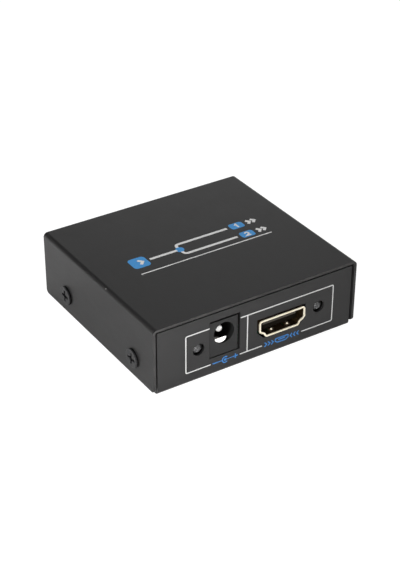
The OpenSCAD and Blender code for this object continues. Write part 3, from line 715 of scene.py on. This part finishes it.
EPOXY = LampResin()
BOARD_GREEN = SolderMask()
FERRITE = Speckled("ferrite", grey(0.055), 0.6)
CERAMIC = Speckled("ceramic_tan", (0.36, 0.22, 0.115, 1.0), 0.5)


def soften(obj: bpy.types.Object, width: float, segments: int = 2, angle: float = 35.0) -> None:
    """Round a CAD piece's sharp edges by modifiers, with its flat faces kept flat in shading.

    Args:
        obj: The piece.
        width: Width of the rounding in millimetres.
        segments: Faces across the rounding.
        angle: Least turn of an edge that is rounded, in degrees.
    """
    weld = obj.modifiers.new("join_faces", "WELD")
    weld.merge_threshold = WELD_GAP
    flat = obj.modifiers.new("merge_flat", "DECIMATE")
    flat.decimate_type = "DISSOLVE"
    flat.angle_limit = math.radians(FLAT_TURN)
    bevel = obj.modifiers.new("soft_edges", "BEVEL")
    bevel.width = width * MM
    bevel.segments = segments
    bevel.limit_method = "ANGLE"
    bevel.angle_limit = math.radians(angle)
    bevel.miter_outer = "MITER_ARC"
    obj.modifiers.new("even_shading", "WEIGHTED_NORMAL")


def dress(node: str, finish: Finish, width: float = 0.0) -> None:
    """Give a CAD piece its finish.

    Args:
        node: The piece's name.
        finish: The finish.
        width: Rounding of its edges in millimetres, or 0 for none.
    """
    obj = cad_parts[node]
    for slot in obj.material_slots:
        slot.material = material_of(finish)
    if width > 0:
        soften(obj, width)
    LOG.info("dressed %s with %s", node, finish.name)


def piece_from(mesh: bmesh.types.BMesh, name: str, finish: Finish, smooth: bool = False) -> bpy.types.Object:
    """Turn a built mesh into a piece that rides on the case.

    Args:
        mesh: The mesh in metres of the part's frame, which is freed.
        name: The piece's name.
        finish: The finish.
        smooth: Whether its faces are shaded as curved.

    Returns:
        The new piece.
    """
    bmesh.ops.recalc_face_normals(mesh, faces=mesh.faces)
    for face in mesh.faces:
        face.smooth = smooth
    data = bpy.data.meshes.new(name)
    mesh.to_mesh(data)
    mesh.free()
    obj = bpy.data.objects.new(name, data)
    bpy.context.scene.collection.objects.link(obj)
    obj.data.materials.append(material_of(finish))
    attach(obj, CASE)
    LOG.info("built %s", name)
    return obj


def arc(centre: Point, radius: float, start: float, end: float, steps: int = 16) -> list[Point]:
    """Give points on an arc, with its ends in degrees."""
    turns = [math.radians(start + (end - start) * i / steps) for i in range(steps + 1)]
    return [(centre[0] + radius * math.cos(t), centre[1] + radius * math.sin(t)) for t in turns]


def rounded(path: list[Point], radius: float, closed: bool = False, steps: int = 5) -> list[Point]:
    """Round the corners of a path.

    Args:
        path: Its corners.
        radius: Radius of the corners.
        closed: Whether its ends are joined.
        steps: Points along each corner.

    Returns:
        The rounded path.
    """
    points = [Vector(p) for p in path]
    found: list[Point] = []
    for i, at in enumerate(points):
        if not closed and i in (0, len(points) - 1):
            found.append(tuple(at))
            continue
        before = (points[i - 1] - at).normalized()
        after = (points[(i + 1) % len(points)] - at).normalized()
        half = before.angle(after) / 2
        middle = at + (before + after).normalized() * radius / math.sin(half)
        first = at + before * radius / math.tan(half) - middle
        last = at + after * radius / math.tan(half) - middle
        for k in range(steps + 1):
            found.append(tuple(middle + first.slerp(last, k / steps).normalized() * radius))
    return found


def beside(path: list[Point], reach: float, closed: bool) -> list[Point]:
    """Give the path that runs beside another one.

    Args:
        path: The other path.
        reach: Distance to its left.
        closed: Whether its ends are joined.

    Returns:
        The path beside it, mitred at its corners.
    """
    points = [Vector(p) for p in path]
    count = len(points)
    sides = []
    for i in range(count if closed else count - 1):
        along = (points[(i + 1) % count] - points[i]).normalized()
        sides.append(Vector((-along.y, along.x)))
    found = []
    for i, at in enumerate(points):
        a = sides[i - 1] if closed or i > 0 else sides[0]
        b = sides[i] if closed or i < count - 1 else sides[-1]
        found.append(tuple(at + reach * (a + b) / (1 + a.dot(b))))
    return found


class Side(Enum):
    """Faces of the case that carry print, as the directions across, up and out of each."""

    FRONT = ((1, 0, 0), (0, 0, 1), (0, -1, 0))
    REAR = ((-1, 0, 0), (0, 0, 1), (0, 1, 0))
    TOP = ((1, 0, 0), (0, 1, 0), (0, 0, 1))


@dataclass
class Print:
    """Marks of one ink on one face of the case, drawn in millimetres on that face."""

    name: str
    side: Side
    ink: Ink
    film: float = 0.02
    sink: float = 0.02
    dot_sides: int = 32
    arrow_slope: float = 0.9
    one_flag: Point = (0.26, 0.24)
    two_bowl: float = 0.27
    two_ends: Point = (165, -35)
    two_steps: int = 12
    mesh: bmesh.types.BMesh = field(default_factory=bmesh.new)

    def __post_init__(self) -> None:
        """Find the face's level from the CAD piece that it belongs to."""
        self.across, self.up, self.out = (Vector(v) for v in self.side.value)
        node = "top_cover" if self.side is Side.TOP else "base_chassis"
        self.level = max(self.out.dot(corner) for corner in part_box(node))

    def at(self, point: Point, height: float) -> Vector:
        """Give the place, in metres of the part's frame, of a point at a height above the face."""
        flat = self.across * point[0] + self.up * point[1] + self.out * height
        return flat * MM + self.out * self.level

    def fill(self, outline: list[Point]) -> None:
        """Draw a filled shape.

        Args:
            outline: Its corners.
        """
        top = [self.mesh.verts.new(self.at(p, self.film)) for p in outline]
        low = [self.mesh.verts.new(self.at(p, -self.sink)) for p in outline]
        self.mesh.faces.new(top)
        self.mesh.faces.new(low[::-1])
        for i in range(len(outline)):
            self.mesh.faces.new((top[i - 1], top[i], low[i], low[i - 1]))

    def line(self, path: list[Point], width: float, closed: bool = False) -> None:
        """Draw a line along a path.

        Args:
            path: Its points.
            width: Its width.
            closed: Whether its ends are joined.
        """
        sides = [beside(path, width / 2, closed), beside(path, -width / 2, closed)]
        heights = (self.film, -self.sink)
        loops = [[self.mesh.verts.new(self.at(p, h)) for p in s] for s in sides for h in heights]
        ring = (loops[0], loops[2], loops[3], loops[1])
        count = len(path)
        for i in range(count if closed else count - 1):
            k = (i + 1) % count
            for a, b in zip(ring, ring[1:] + ring[:1]):
                self.mesh.faces.new((a[i], a[k], b[k], b[i]))
        if not closed:
            self.mesh.faces.new([loop[0] for loop in ring])
            self.mesh.faces.new([loop[-1] for loop in ring[::-1]])

    def disc(self, centre: Point, radius: float) -> None:
        """Draw a filled round dot."""
        self.fill(arc(centre, radius, 0, 360, self.dot_sides)[:-1])

    def tile(self, centre: Point, size: Point, radius: float) -> None:
        """Draw a filled rectangle with round corners."""
        self.fill(rounded(self.corners(centre, size), radius, True))

    @staticmethod
    def corners(centre: Point, size: Point) -> list[Point]:
        """Give the corners of a rectangle."""
        (x, y), (w, h) = centre, size
        return [(x + a * w / 2, y + b * h / 2) for a, b in ((-1, -1), (1, -1), (1, 1), (-1, 1))]

    def chevron(self, tip: Point, size: float, width: float, turn: float = 0.0) -> None:
        """Draw an open arrow head.

        Args:
            tip: Its point.
            size: Half of its height.
            width: Width of its line.
            turn: Direction that it points in, in degrees from across.
        """
        rad = math.radians(turn)
        along = Vector((math.cos(rad), math.sin(rad)))
        over = Vector((-along.y, along.x))
        ends = [Vector(tip) - along * size * self.arrow_slope + over * size * s for s in (1, -1)]
        self.line([tuple(ends[0]), tip, tuple(ends[1])], width)

    def figure_one(self, centre: Point, height: float, width: float) -> None:
        """Draw the figure 1.

        Args:
            centre: Its middle.
            height: Its height.
            width: Width of its lines.
        """
        x, y = centre
        top = y + height / 2 - width / 2
        flag = (x - self.one_flag[0] * height, top - self.one_flag[1] * height)
        self.line([flag, (x, top), (x, y - height / 2)], width)

    def figure_two(self, centre: Point, height: float, width: float) -> None:
        """Draw the figure 2.

        Args:
            centre: Its middle.
            height: Its height.
            width: Width of its lines.
        """
        x, y = centre
        radius = self.two_bowl * height
        bowl = arc((x, y + height / 2 - width / 2 - radius), radius, *self.two_ends, self.two_steps)
        foot = y - height / 2 + width / 2
        self.line(bowl + [(x - radius, foot), (x + radius + width / 2, foot)], width)

    def place(self) -> bpy.types.Object:
        """Put the marks on the case."""
        return piece_from(self.mesh, self.name, self.ink)


@dataclass
class PanelMarks:
    """Sizes that the marks on both panels share, and their rows of arrows."""

    corner: float = 0.45
    width: float = 0.32
    sign: float = 0.36
    arrow: float = 0.75
    arrow_at: float = 2.6
    arrow_step: float = 1.15
    arrow_count: int = 2

    def arrows(self, blue: Print, centre: Point, outward: bool) -> None:
        """Draw a row of arrows on each side of a place.

        Args:
            blue: The print.
            centre: The place.
            outward: Whether they point away from the place.
        """
        x, y = centre
        for step in range(self.arrow_count):
            away = self.arrow_at + self.arrow_step * step
            for side in (-1, 1):
                turn = 0 if (side > 0) == outward else 180
                blue.chevron((x + side * away, y), self.arrow, self.sign, turn)


@dataclass
class FrontMarks(PanelMarks):
    """Frame lines around the jack and the input socket, with a supply sign and an input sign in its gaps."""

    left: float = -22.46
    right: float = 24.98
    low: float = 3.63
    high: float = 15.12
    divider: float = -3.16
    jack_gap: Point = (-15.2, -5.4)
    supply_gap: Point = (-14.8, -5.5)
    input_gap: Point = (1.65, 14.75)
    ring: float = 0.9
    ring_ends: Point = (50, 310)
    ring_steps: int = 24
    dot: float = 0.4
    thin: float = 0.216
    reach: float = 2.5
    bar: float = 1.5
    arm: float = 0.75
    mouth: tuple[Point, ...] = ((2.1, 0.65), (2.1, -0.15), (1.4, -0.65))
    mouth_corner: float = 0.2
    tongue: Point = (1.15, 0.1)
    arrow: float = 0.68
    arrow_at: float = 2.8
    arrow_step: float = 1.1
    arrow_count: int = 3

    def build(self) -> None:
        """Draw the white frame and the blue signs."""
        white = Print("front_frame_print", Side.FRONT, FRAME_INK)
        w = self.width
        near = [(self.supply_gap[0], self.low), (self.left, self.low), (self.left, self.high)]
        white.line(rounded(near + [(self.jack_gap[0], self.high)], self.corner), w)
        far = [(self.input_gap[1], self.low), (self.right, self.low), (self.right, self.high)]
        white.line(rounded(far + [(self.jack_gap[1], self.high)], self.corner), w)
        white.line([(self.supply_gap[1], self.low), (self.input_gap[0], self.low)], w)
        white.line([(self.divider, self.low + w / 2), (self.divider, self.high - w / 2)], w)
        white.place()
        blue = Print("front_sign_print", Side.FRONT, SIGN_INK)
        self.supply_sign(blue, (sum(self.supply_gap) / 2, self.low))
        self.input_sign(blue, (sum(self.input_gap) / 2, self.low))
        blue.place()

    def supply_sign(self, blue: Print, centre: Point) -> None:
        """Draw the sign for a centre-positive direct supply.

        Args:
            blue: The print.
            centre: Its middle.
        """
        x, y = centre
        near, far = x - self.reach, x + self.reach
        blue.line([(near - self.bar, y), (near, y)], self.sign)
        blue.line([(near, y), (x - self.ring - self.sign / 2, y)], self.thin)
        blue.line(arc((x, y), self.ring, *self.ring_ends, self.ring_steps), self.sign)
        blue.disc((x, y), self.dot)
        blue.line([(x + self.dot, y), (far, y)], self.thin)
        blue.line([(far, y), (far + self.bar, y)], self.sign)
        post = far + self.bar / 2
        for s in (-1, 1):
            blue.line([(post, y + s * self.sign / 2), (post, y + s * self.arm)], self.sign)

    def input_sign(self, blue: Print, centre: Point) -> None:
        """Draw a socket's outline with arrows that run into it.

        Args:
            blue: The print.
            centre: Its middle.
        """
        x, y = centre
        outline = [(x - u, y + v) for u, v in self.mouth] + [(x + u, y + v) for u, v in self.mouth[::-1]]
        blue.line(rounded(outline, self.mouth_corner, True), self.sign, True)
        half, rise = self.tongue
        blue.line([(x - half, y + rise), (x + half, y + rise)], self.sign)
        self.arrows(blue, centre, False)


@dataclass
class RearMarks(PanelMarks):
    """Frame lines around the two output sockets, with their numbers and arrows that run out of them."""

    left: float = -25.6
    right: float = 25.6
    low: float = 3.6
    high: float = 15.15
    socket_x: float = sum(ends_of("output_1_socket_shell", AXIS_X)) / 2
    gap: float = 5.0
    figure: float = 1.8

    def build(self) -> None:
        """Draw the white frame and the blue numbers."""
        white = Print("rear_frame_print", Side.REAR, FRAME_INK)
        inner = self.socket_x - self.gap
        outer = self.socket_x + self.gap
        for s in (-1, 1):
            end = self.left if s < 0 else self.right
            path = [(s * outer, self.low), (end, self.low), (end, self.high), (0, self.high)]
            white.line(rounded(path, self.corner), self.width)
        white.line([(-inner, self.low), (inner, self.low)], self.width)
        half = self.width / 2
        white.line([(0, self.low + half), (0, self.high - half)], self.width)
        white.place()
        blue = Print("rear_sign_print", Side.REAR, SIGN_INK)
        blue.figure_one((-self.socket_x, self.low), self.figure, self.sign)
        blue.figure_two((self.socket_x, self.low), self.figure, self.sign)
        for x in (-self.socket_x, self.socket_x):
            self.arrows(blue, (x, self.low), True)
        blue.place()


@dataclass
class TopMarks:
    """A plain diagram on the cover: one line in, a fork, and two numbered lines out."""

    left: float = -20.7
    right: float = 21.8
    low: float = -3.0
    high: float = 5.5
    tile: float = 5.2
    tile_corner: float = 1.1
    tile_arrow: Point = (1.1, 1.15)
    trunk: float = 0.85
    trunk_gap: float = 0.8
    fork: float = -6.0
    knot: Point = (0.9, 1.25)
    bend_r: float = 1.1
    branch_in: float = 1.55
    branch_end: float = 9.6
    flag: Point = (4.4, 3.0)
    flag_corner: float = 0.8
    flag_at: float = 3.3
    exits: Point = (0.3, 1.9)
    exit_arrow: float = 0.95
    figure: Point = (2.1, 0.5)
    figures_at: Point = (6.2, 6.3)
    rule: float = 0.36
    rule_drop: float = 1.3
    upper_film: float = 0.045

    def build(self) -> None:
        """Draw the blue tiles and figures and the white lines."""
        middle = (self.low + self.high) / 2
        rise = (self.high - self.low) / 2 - self.branch_in
        start = self.left + self.tile / 2
        knot = self.fork + self.knot[0]
        ends = self.right - self.branch_end
        blue = Print("top_sign_print", Side.TOP, BLUE_INK)
        white = Print("top_line_print", Side.TOP, WHITE_INK, film=self.upper_film)
        blue.tile((start, middle), (self.tile, self.tile), self.tile_corner)
        white.chevron((start + self.tile_arrow[0], middle), self.tile_arrow[1], self.trunk)
        white.line([(start + self.tile / 2 + self.trunk_gap, middle), (self.fork, middle)], self.trunk)
        blue.disc((knot, middle), self.knot[1])
        for s in (-1, 1):
            y = middle + s * rise
            bend = [(knot, middle + s * self.knot[1]), (knot, y), (ends, y)]
            white.line(rounded(bend, self.bend_r), self.trunk)
            blue.tile((ends + self.flag_at, y), self.flag, self.flag_corner)
            for back in self.exits:
                white.chevron((self.right - back, y), self.exit_arrow, self.trunk)
        white.figure_one((self.right - self.figures_at[0], middle + rise), *self.figure)
        white.figure_two((self.right - self.figures_at[1], middle - rise), *self.figure)
        base = self.low - self.rule_drop
        white.line([(self.left, base), (self.right, base)], self.rule)
        blue.place()
        white.place()


@dataclass
class Case:
    """Folded cover and tray with the four screws that hold them together."""

    sheet_edge: float = 0.10
    screw_edge: float = 0.05
    screws: tuple[str, ...] = ("left_front", "left_rear", "right_front", "right_rear")

    def build(self) -> None:
        """Coat the sheet metal and blacken the screws."""
        dress("top_cover", COAT, self.sheet_edge)
        dress("base_chassis", COAT, self.sheet_edge)
        for place in self.screws:
            dress(f"screw_{place}", SCREW_BLACK, self.screw_edge)


def outer_end(node: str) -> tuple[Vector, Vector, float, int]:
    """Find where a piece in the front or rear panel ends outside.

    Args:
        node: The piece's name.

    Returns:
        The low and high corners of its box, the place of its outer end along the depth of the case, and the
        direction into the case from there, 1 or -1.
    """
    low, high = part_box(node)
    if low.y + high.y < 0:
        return low, high, low.y, 1
    return low, high, high.y, -1


@dataclass
class VideoSocket:
    """One video socket: plated shell with dimpled tabs, black insulator and gold contacts."""

    name: str
    shell_edge: float = 0.07
    tongue_edge: float = 0.08
    dimple_x: float = 2.6
    dimple_depth: float = 1.5
    dimple_low: float = 4.7
    dimple_r: float = 0.34
    dimple_form: Triple = (1.0, 1.0, 0.75)
    dimple_faces: tuple[int, int] = (20, 12)

    def build(self) -> None:
        """Dress the socket's three pieces and add the dimples."""
        dress(f"{self.name}_socket_shell", PALE_GOLD, self.shell_edge)
        dress(f"{self.name}_socket_insulator", SOCKET_BLACK, self.tongue_edge)
        dress(f"{self.name}_socket_contacts", CONTACT_GOLD)
        self.dimples()

    def dimples(self) -> None:
        """Press a dimple into each lower tab of the shell."""
        low, high, lip, inward = outer_end(f"{self.name}_socket_shell")
        y = lip + inward * self.dimple_depth * MM
        z = high.z - self.dimple_low * MM
        across, up = self.dimple_faces
        size = {"u_segments": across, "v_segments": up, "radius": self.dimple_r * MM}
        mesh = bmesh.new()
        for side in (-1, 1):
            x = (low.x + high.x) / 2 + side * self.dimple_x * MM
            place = Matrix.LocRotScale(Vector((x, y, z)), None, Vector(self.dimple_form))
            bmesh.ops.create_uvsphere(mesh, matrix=place, **size)
        piece_from(mesh, f"{self.name}_socket_dimples", DIMPLE_GOLD, True)


@dataclass
class PowerJack:
    """Round power jack: nylon body, centre pin, and sprung leaf with its terminals."""

    body_edge: float = 0.12
    metal_edge: float = 0.05

    def build(self) -> None:
        """Dress the jack's pieces."""
        dress("jack_body", JACK_BLACK, self.body_edge)
        dress("jack_centre_pin", PIN_NICKEL, self.metal_edge)
        dress("jack_sleeve_leaf", NICKEL, self.metal_edge)
        dress("jack_sleeve_terminal", NICKEL)
        dress("jack_switch_contact", NICKEL)


@dataclass
class Lamp:
    """One indicator lamp: milky lens with a reflector cup on its post inside."""

    name: str
    cup_r: float = 0.62
    cup_floor_r: float = 0.186
    cup_rim_r: float = 0.5704
    cup_depth: float = 0.42
    cup_back: float = 2.6
    cup_foot: float = 0.5
    posts: tuple[Point, ...] = ((-0.42, 3.32), (0.97, 3.1))
    post_size: Point = (0.35, 0.5)
    post_edge: float = 0.06
    post_end: float = 0.2

    def build(self) -> None:
        """Dress the lens and build the cup and posts inside it."""
        dress(f"{self.name}_led", EPOXY)
        low, high, tip, inward = outer_end(f"{self.name}_led")
        middle = (low + high) / 2
        floor = self.cup_back + self.cup_depth
        profile = [
            (0.0, floor),
            (self.cup_floor_r, floor),
            (self.cup_rim_r, self.cup_back),
            (self.cup_r, self.cup_back),
            (self.cup_r, floor + self.cup_foot),
            (0.0, floor + self.cup_foot),
        ]
        mesh = bmesh.new()
        self.lathe(mesh, profile, middle, tip, inward)
        end = (high.y - low.y) / MM - self.post_end
        for x, start in self.posts:
            size = Vector((self.post_size[0], end - start, self.post_size[1])) * MM
            at = Vector((middle.x + x * MM, tip + inward * (start + end) / 2 * MM, middle.z))
            made = bmesh.ops.create_cube(mesh, size=1.0, matrix=Matrix.LocRotScale(at, None, size))
            edges = list({e for v in made["verts"] for e in v.link_edges})
            bmesh.ops.bevel(mesh, geom=edges, offset=self.post_edge * MM, segments=2, affect="EDGES")
        piece_from(mesh, f"{self.name}_led_frame", NICKEL)

    @staticmethod
    def lathe(mesh: bmesh.types.BMesh, profile: list[Point], middle: Vector, tip: float, inward: int) -> None:
        """Turn a profile about the lamp's axis.

        Args:
            mesh: The mesh to add to.
            profile: Radius and depth behind the tip of its points, in millimetres.
            middle: A point on the axis.
            tip: Place of the lamp's tip along the depth of the case.
            inward: Direction into the case, 1 or -1.
        """
        steps = 24
        rings = []
        for radius, depth in profile:
            y = tip + inward * depth * MM
            if radius == 0:
                rings.append([mesh.verts.new((middle.x, y, middle.z))])
                continue
            circle = arc((middle.x, middle.z), radius * MM, 0, 360, steps)[:-1]
            rings.append([mesh.verts.new((x, y, z)) for x, z in circle])
        for a, b in zip(rings, rings[1:]):
            for i in range(steps):
                k = (i + 1) % steps
                corners = [a[i % len(a)], a[k % len(a)], b[k % len(b)], b[i % len(b)]]
                mesh.faces.new(list(dict.fromkeys(corners)))


@dataclass
class BoardAssembly:
    """Circuit board inside the case with its fixings and parts."""

    edge: float = 0.06
    plain: dict[str, Finish] = field(
        default_factory=lambda: {
            "circuit_board": BOARD_GREEN,
            "board_standoffs": NICKEL,
            "board_screws": NICKEL,
            "led_holders": HOLDER_BLACK,
            "led_leads": TIN,
            "splitter_chip_leads": TIN,
            "memory_chip_leads": TIN,
            "regulator_leads": TIN,
        }
    )
    softened: dict[str, Finish] = field(
        default_factory=lambda: {
            "splitter_chip": CHIP_BLACK,
            "memory_chips": CHIP_BLACK,
            "regulator": CHIP_BLACK,
            "capacitor_cans": ALUMINIUM,
            "capacitor_bases": HOLDER_BLACK,
            "crystal_can": NICKEL,
            "power_inductor": FERRITE,
            "ceramic_capacitors": CERAMIC,
            "chip_resistors": CHIP_BLACK,
            "surge_arrays": CHIP_BLACK,
        }
    )

    def build(self) -> None:
        """Dress the board and all that is on it."""
        for node, finish in self.plain.items():
            dress(node, finish)
        for node, finish in self.softened.items():
            dress(node, finish, self.edge)


@dataclass(frozen=True)
class Softbox:
    """One soft lamp: where it stands, its size, its power and whether shiny faces mirror it."""

    name: str
    at: Triple
    size: float
    power: float
    mirrored: bool = True


@dataclass
class Studio:
    """Pale floor, soft lamps, plain surround and the camera."""

    floor_r: float = 4.0
    floor_sides: int = 96
    seen_glow: float = 0.93
    seen_shade: float = 0.24
    mirrored_glow: float = 0.03
    mirrored_shade: float = 0.80
    mirrored_surround: float = 0.008
    floor_bounce: float = 0.80
    bright_side: Triple = (0.902, 0.0, 0.431)
    bright: float = 0.208
    dim: float = 0.008
    fade: Point = (0.3, 1.0)
    yaw: float = -32.863
    pitch: float = 31.892
    roll: float = 0.174
    distance: float = 416.52
    focal_px: float = 1489.3
    shift: Point = (-0.617, 1.869)
    image: tuple[int, int] = (400, 570)
    sensor: float = 36.0
    clip: Point = (0.01, 50.0)
    boxes: tuple[Softbox, ...] = (
        Softbox("front_softbox", (-0.078, -0.136, 0.033), 0.08, 0.235, False),
        Softbox("left_softbox", (-0.217, 0.163, 0.068), 0.20, 0.80, False),
        Softbox("right_softbox", (0.497, 0.000, 0.336), 0.40, 1.72),
        Softbox("rear_softbox", (0.291, 0.504, 0.145), 0.40, 0.28),
        Softbox("spot_softbox", (0.275, -0.443, 0.292), 0.20, 0.26),
    )

    def build(self) -> None:
        """Set the camera, the surround, the floor and the lamps."""
        bpy.context.scene.view_settings.view_transform = "Standard"
        self.camera()
        self.surround()
        self.floor()
        for box in self.boxes:
            self.lamp(box)

    def camera(self) -> None:
        """Place the camera at the photograph's angle."""
        yaw, pitch = math.radians(self.yaw), math.radians(self.pitch)
        back = Vector((math.sin(yaw) * math.cos(pitch), -math.cos(yaw) * math.cos(pitch), math.sin(pitch)))
        right = (-back).cross(Vector((0, 0, 1))).normalized()
        up = back.cross(right)
        centre = Vector((0, 0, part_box("top_cover")[1].z / 2))
        at = centre + (back * self.distance - right * self.shift[0] - up * self.shift[1]) * MM
        turn = Matrix((right, up, back)).transposed()
        lens = bpy.data.cameras.new("photo_camera")
        lens.sensor_width = self.sensor
        lens.lens = self.focal_px * self.sensor / max(self.image)
        lens.clip_start, lens.clip_end = self.clip
        obj = bpy.data.objects.new("photo_camera", lens)
        roll = Matrix.Rotation(math.radians(self.roll), 3, "Z")
        obj.matrix_world = Matrix.Translation(at) @ (turn @ roll).to_4x4()
        bpy.context.scene.collection.objects.link(obj)
        bpy.context.scene.camera = obj

    @staticmethod
    def rays(tree: ShaderTree) -> tuple[Wire, Wire]:
        """Give whether a ray comes from the camera, and whether it comes from a mirroring or clear face."""
        seen = tree.add("ShaderNodeLightPath", out="Is Camera Ray")
        return seen, seen.out("Is Glossy Ray").most(seen.out("Is Transmission Ray"))

    def surround(self) -> None:
        """Light the scene softly from the right, hardly from elsewhere, and show white beyond the floor."""
        world = bpy.data.worlds.new("studio_surround")
        world.use_nodes = True
        tree = ShaderTree(world.node_tree)
        way = tree.add("ShaderNodeTexCoord", out="Generated")
        sockets = {0: way, 1: self.bright_side}
        near = tree.add("ShaderNodeVectorMath", {"operation": "DOT_PRODUCT"}, sockets, "Value")
        seen, mirrored = self.rays(tree)
        level = self.dim + near.rise(*self.fade) * self.bright + mirrored * self.mirrored_surround
        shader = tree.add("ShaderNodeBackground", None, {"Color": grey(1.0), "Strength": level.most(seen)})
        tree.add("ShaderNodeOutputWorld", None, {"Surface": shader})
        bpy.context.scene.world = world

    def floor(self) -> None:
        """Lay a pale floor that shows white and keeps the object's shadow."""
        mesh = bmesh.new()
        bmesh.ops.create_circle(mesh, cap_ends=True, segments=self.floor_sides, radius=self.floor_r)
        data = bpy.data.meshes.new("studio_floor")
        mesh.to_mesh(data)
        mesh.free()
        obj = bpy.data.objects.new("studio_floor", data)
        bpy.context.scene.collection.objects.link(obj)
        material = bpy.data.materials.new("pale_floor")
        material.use_nodes = True
        material.cycles.emission_sampling = "NONE"
        tree = ShaderTree(material.node_tree)
        seen, mirrored = self.rays(tree)
        bounce = tree.add("ShaderNodeBsdfDiffuse", None, {"Color": grey(self.floor_bounce)})
        soft = self.glowing(tree, self.mirrored_shade, self.mirrored_glow)
        white = self.glowing(tree, self.seen_shade, self.seen_glow)
        shader = tree.add("ShaderNodeMixShader", None, {0: mirrored, 1: bounce, 2: soft})
        shader = tree.add("ShaderNodeMixShader", None, {0: seen, 1: shader, 2: white})
        tree.add("ShaderNodeOutputMaterial", None, {"Surface": shader})
        data.materials.append(material)

    @staticmethod
    def glowing(tree: ShaderTree, shade: float, glow: float) -> Wire:
        """Add a pale surface that also glows.

        Args:
            tree: The tree to add to.
            shade: Brightness of the part that takes light and shadow.
            glow: Brightness of the part that glows.

        Returns:
            The shader.
        """
        plain = tree.add("ShaderNodeBsdfDiffuse", None, {"Color": grey(shade)})
        light = tree.add("ShaderNodeEmission", None, {"Color": grey(1.0), "Strength": glow})
        return tree.add("ShaderNodeAddShader", None, {0: plain, 1: light})

    def lamp(self, box: Softbox) -> None:
        """Add one soft lamp that faces the object.

        Args:
            box: The lamp.
        """
        light = bpy.data.lights.new(box.name, "AREA")
        light.shape = "DISK"
        light.size = box.size
        light.energy = box.power
        obj = bpy.data.objects.new(box.name, light)
        obj.location = box.at
        obj.rotation_euler = Vector(box.at).to_track_quat("Z", "Y").to_euler()
        obj.visible_camera = False
        obj.visible_glossy = box.mirrored
        bpy.context.scene.collection.objects.link(obj)


def main() -> None:
    """Build the studio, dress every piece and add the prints."""
    logging.basicConfig(level=logging.INFO, format="%(message)s")
    Studio().build()
    Case().build()
    for name in ("input", "output_1", "output_2"):
        VideoSocket(name).build()
    PowerJack().build()
    for name in ("power", "input", "output_1", "output_2"):
        Lamp(name).build()
    BoardAssembly().build()
    FrontMarks().build()
    RearMarks().build()
    TopMarks().build()


if __name__ == "__main__":
    main()
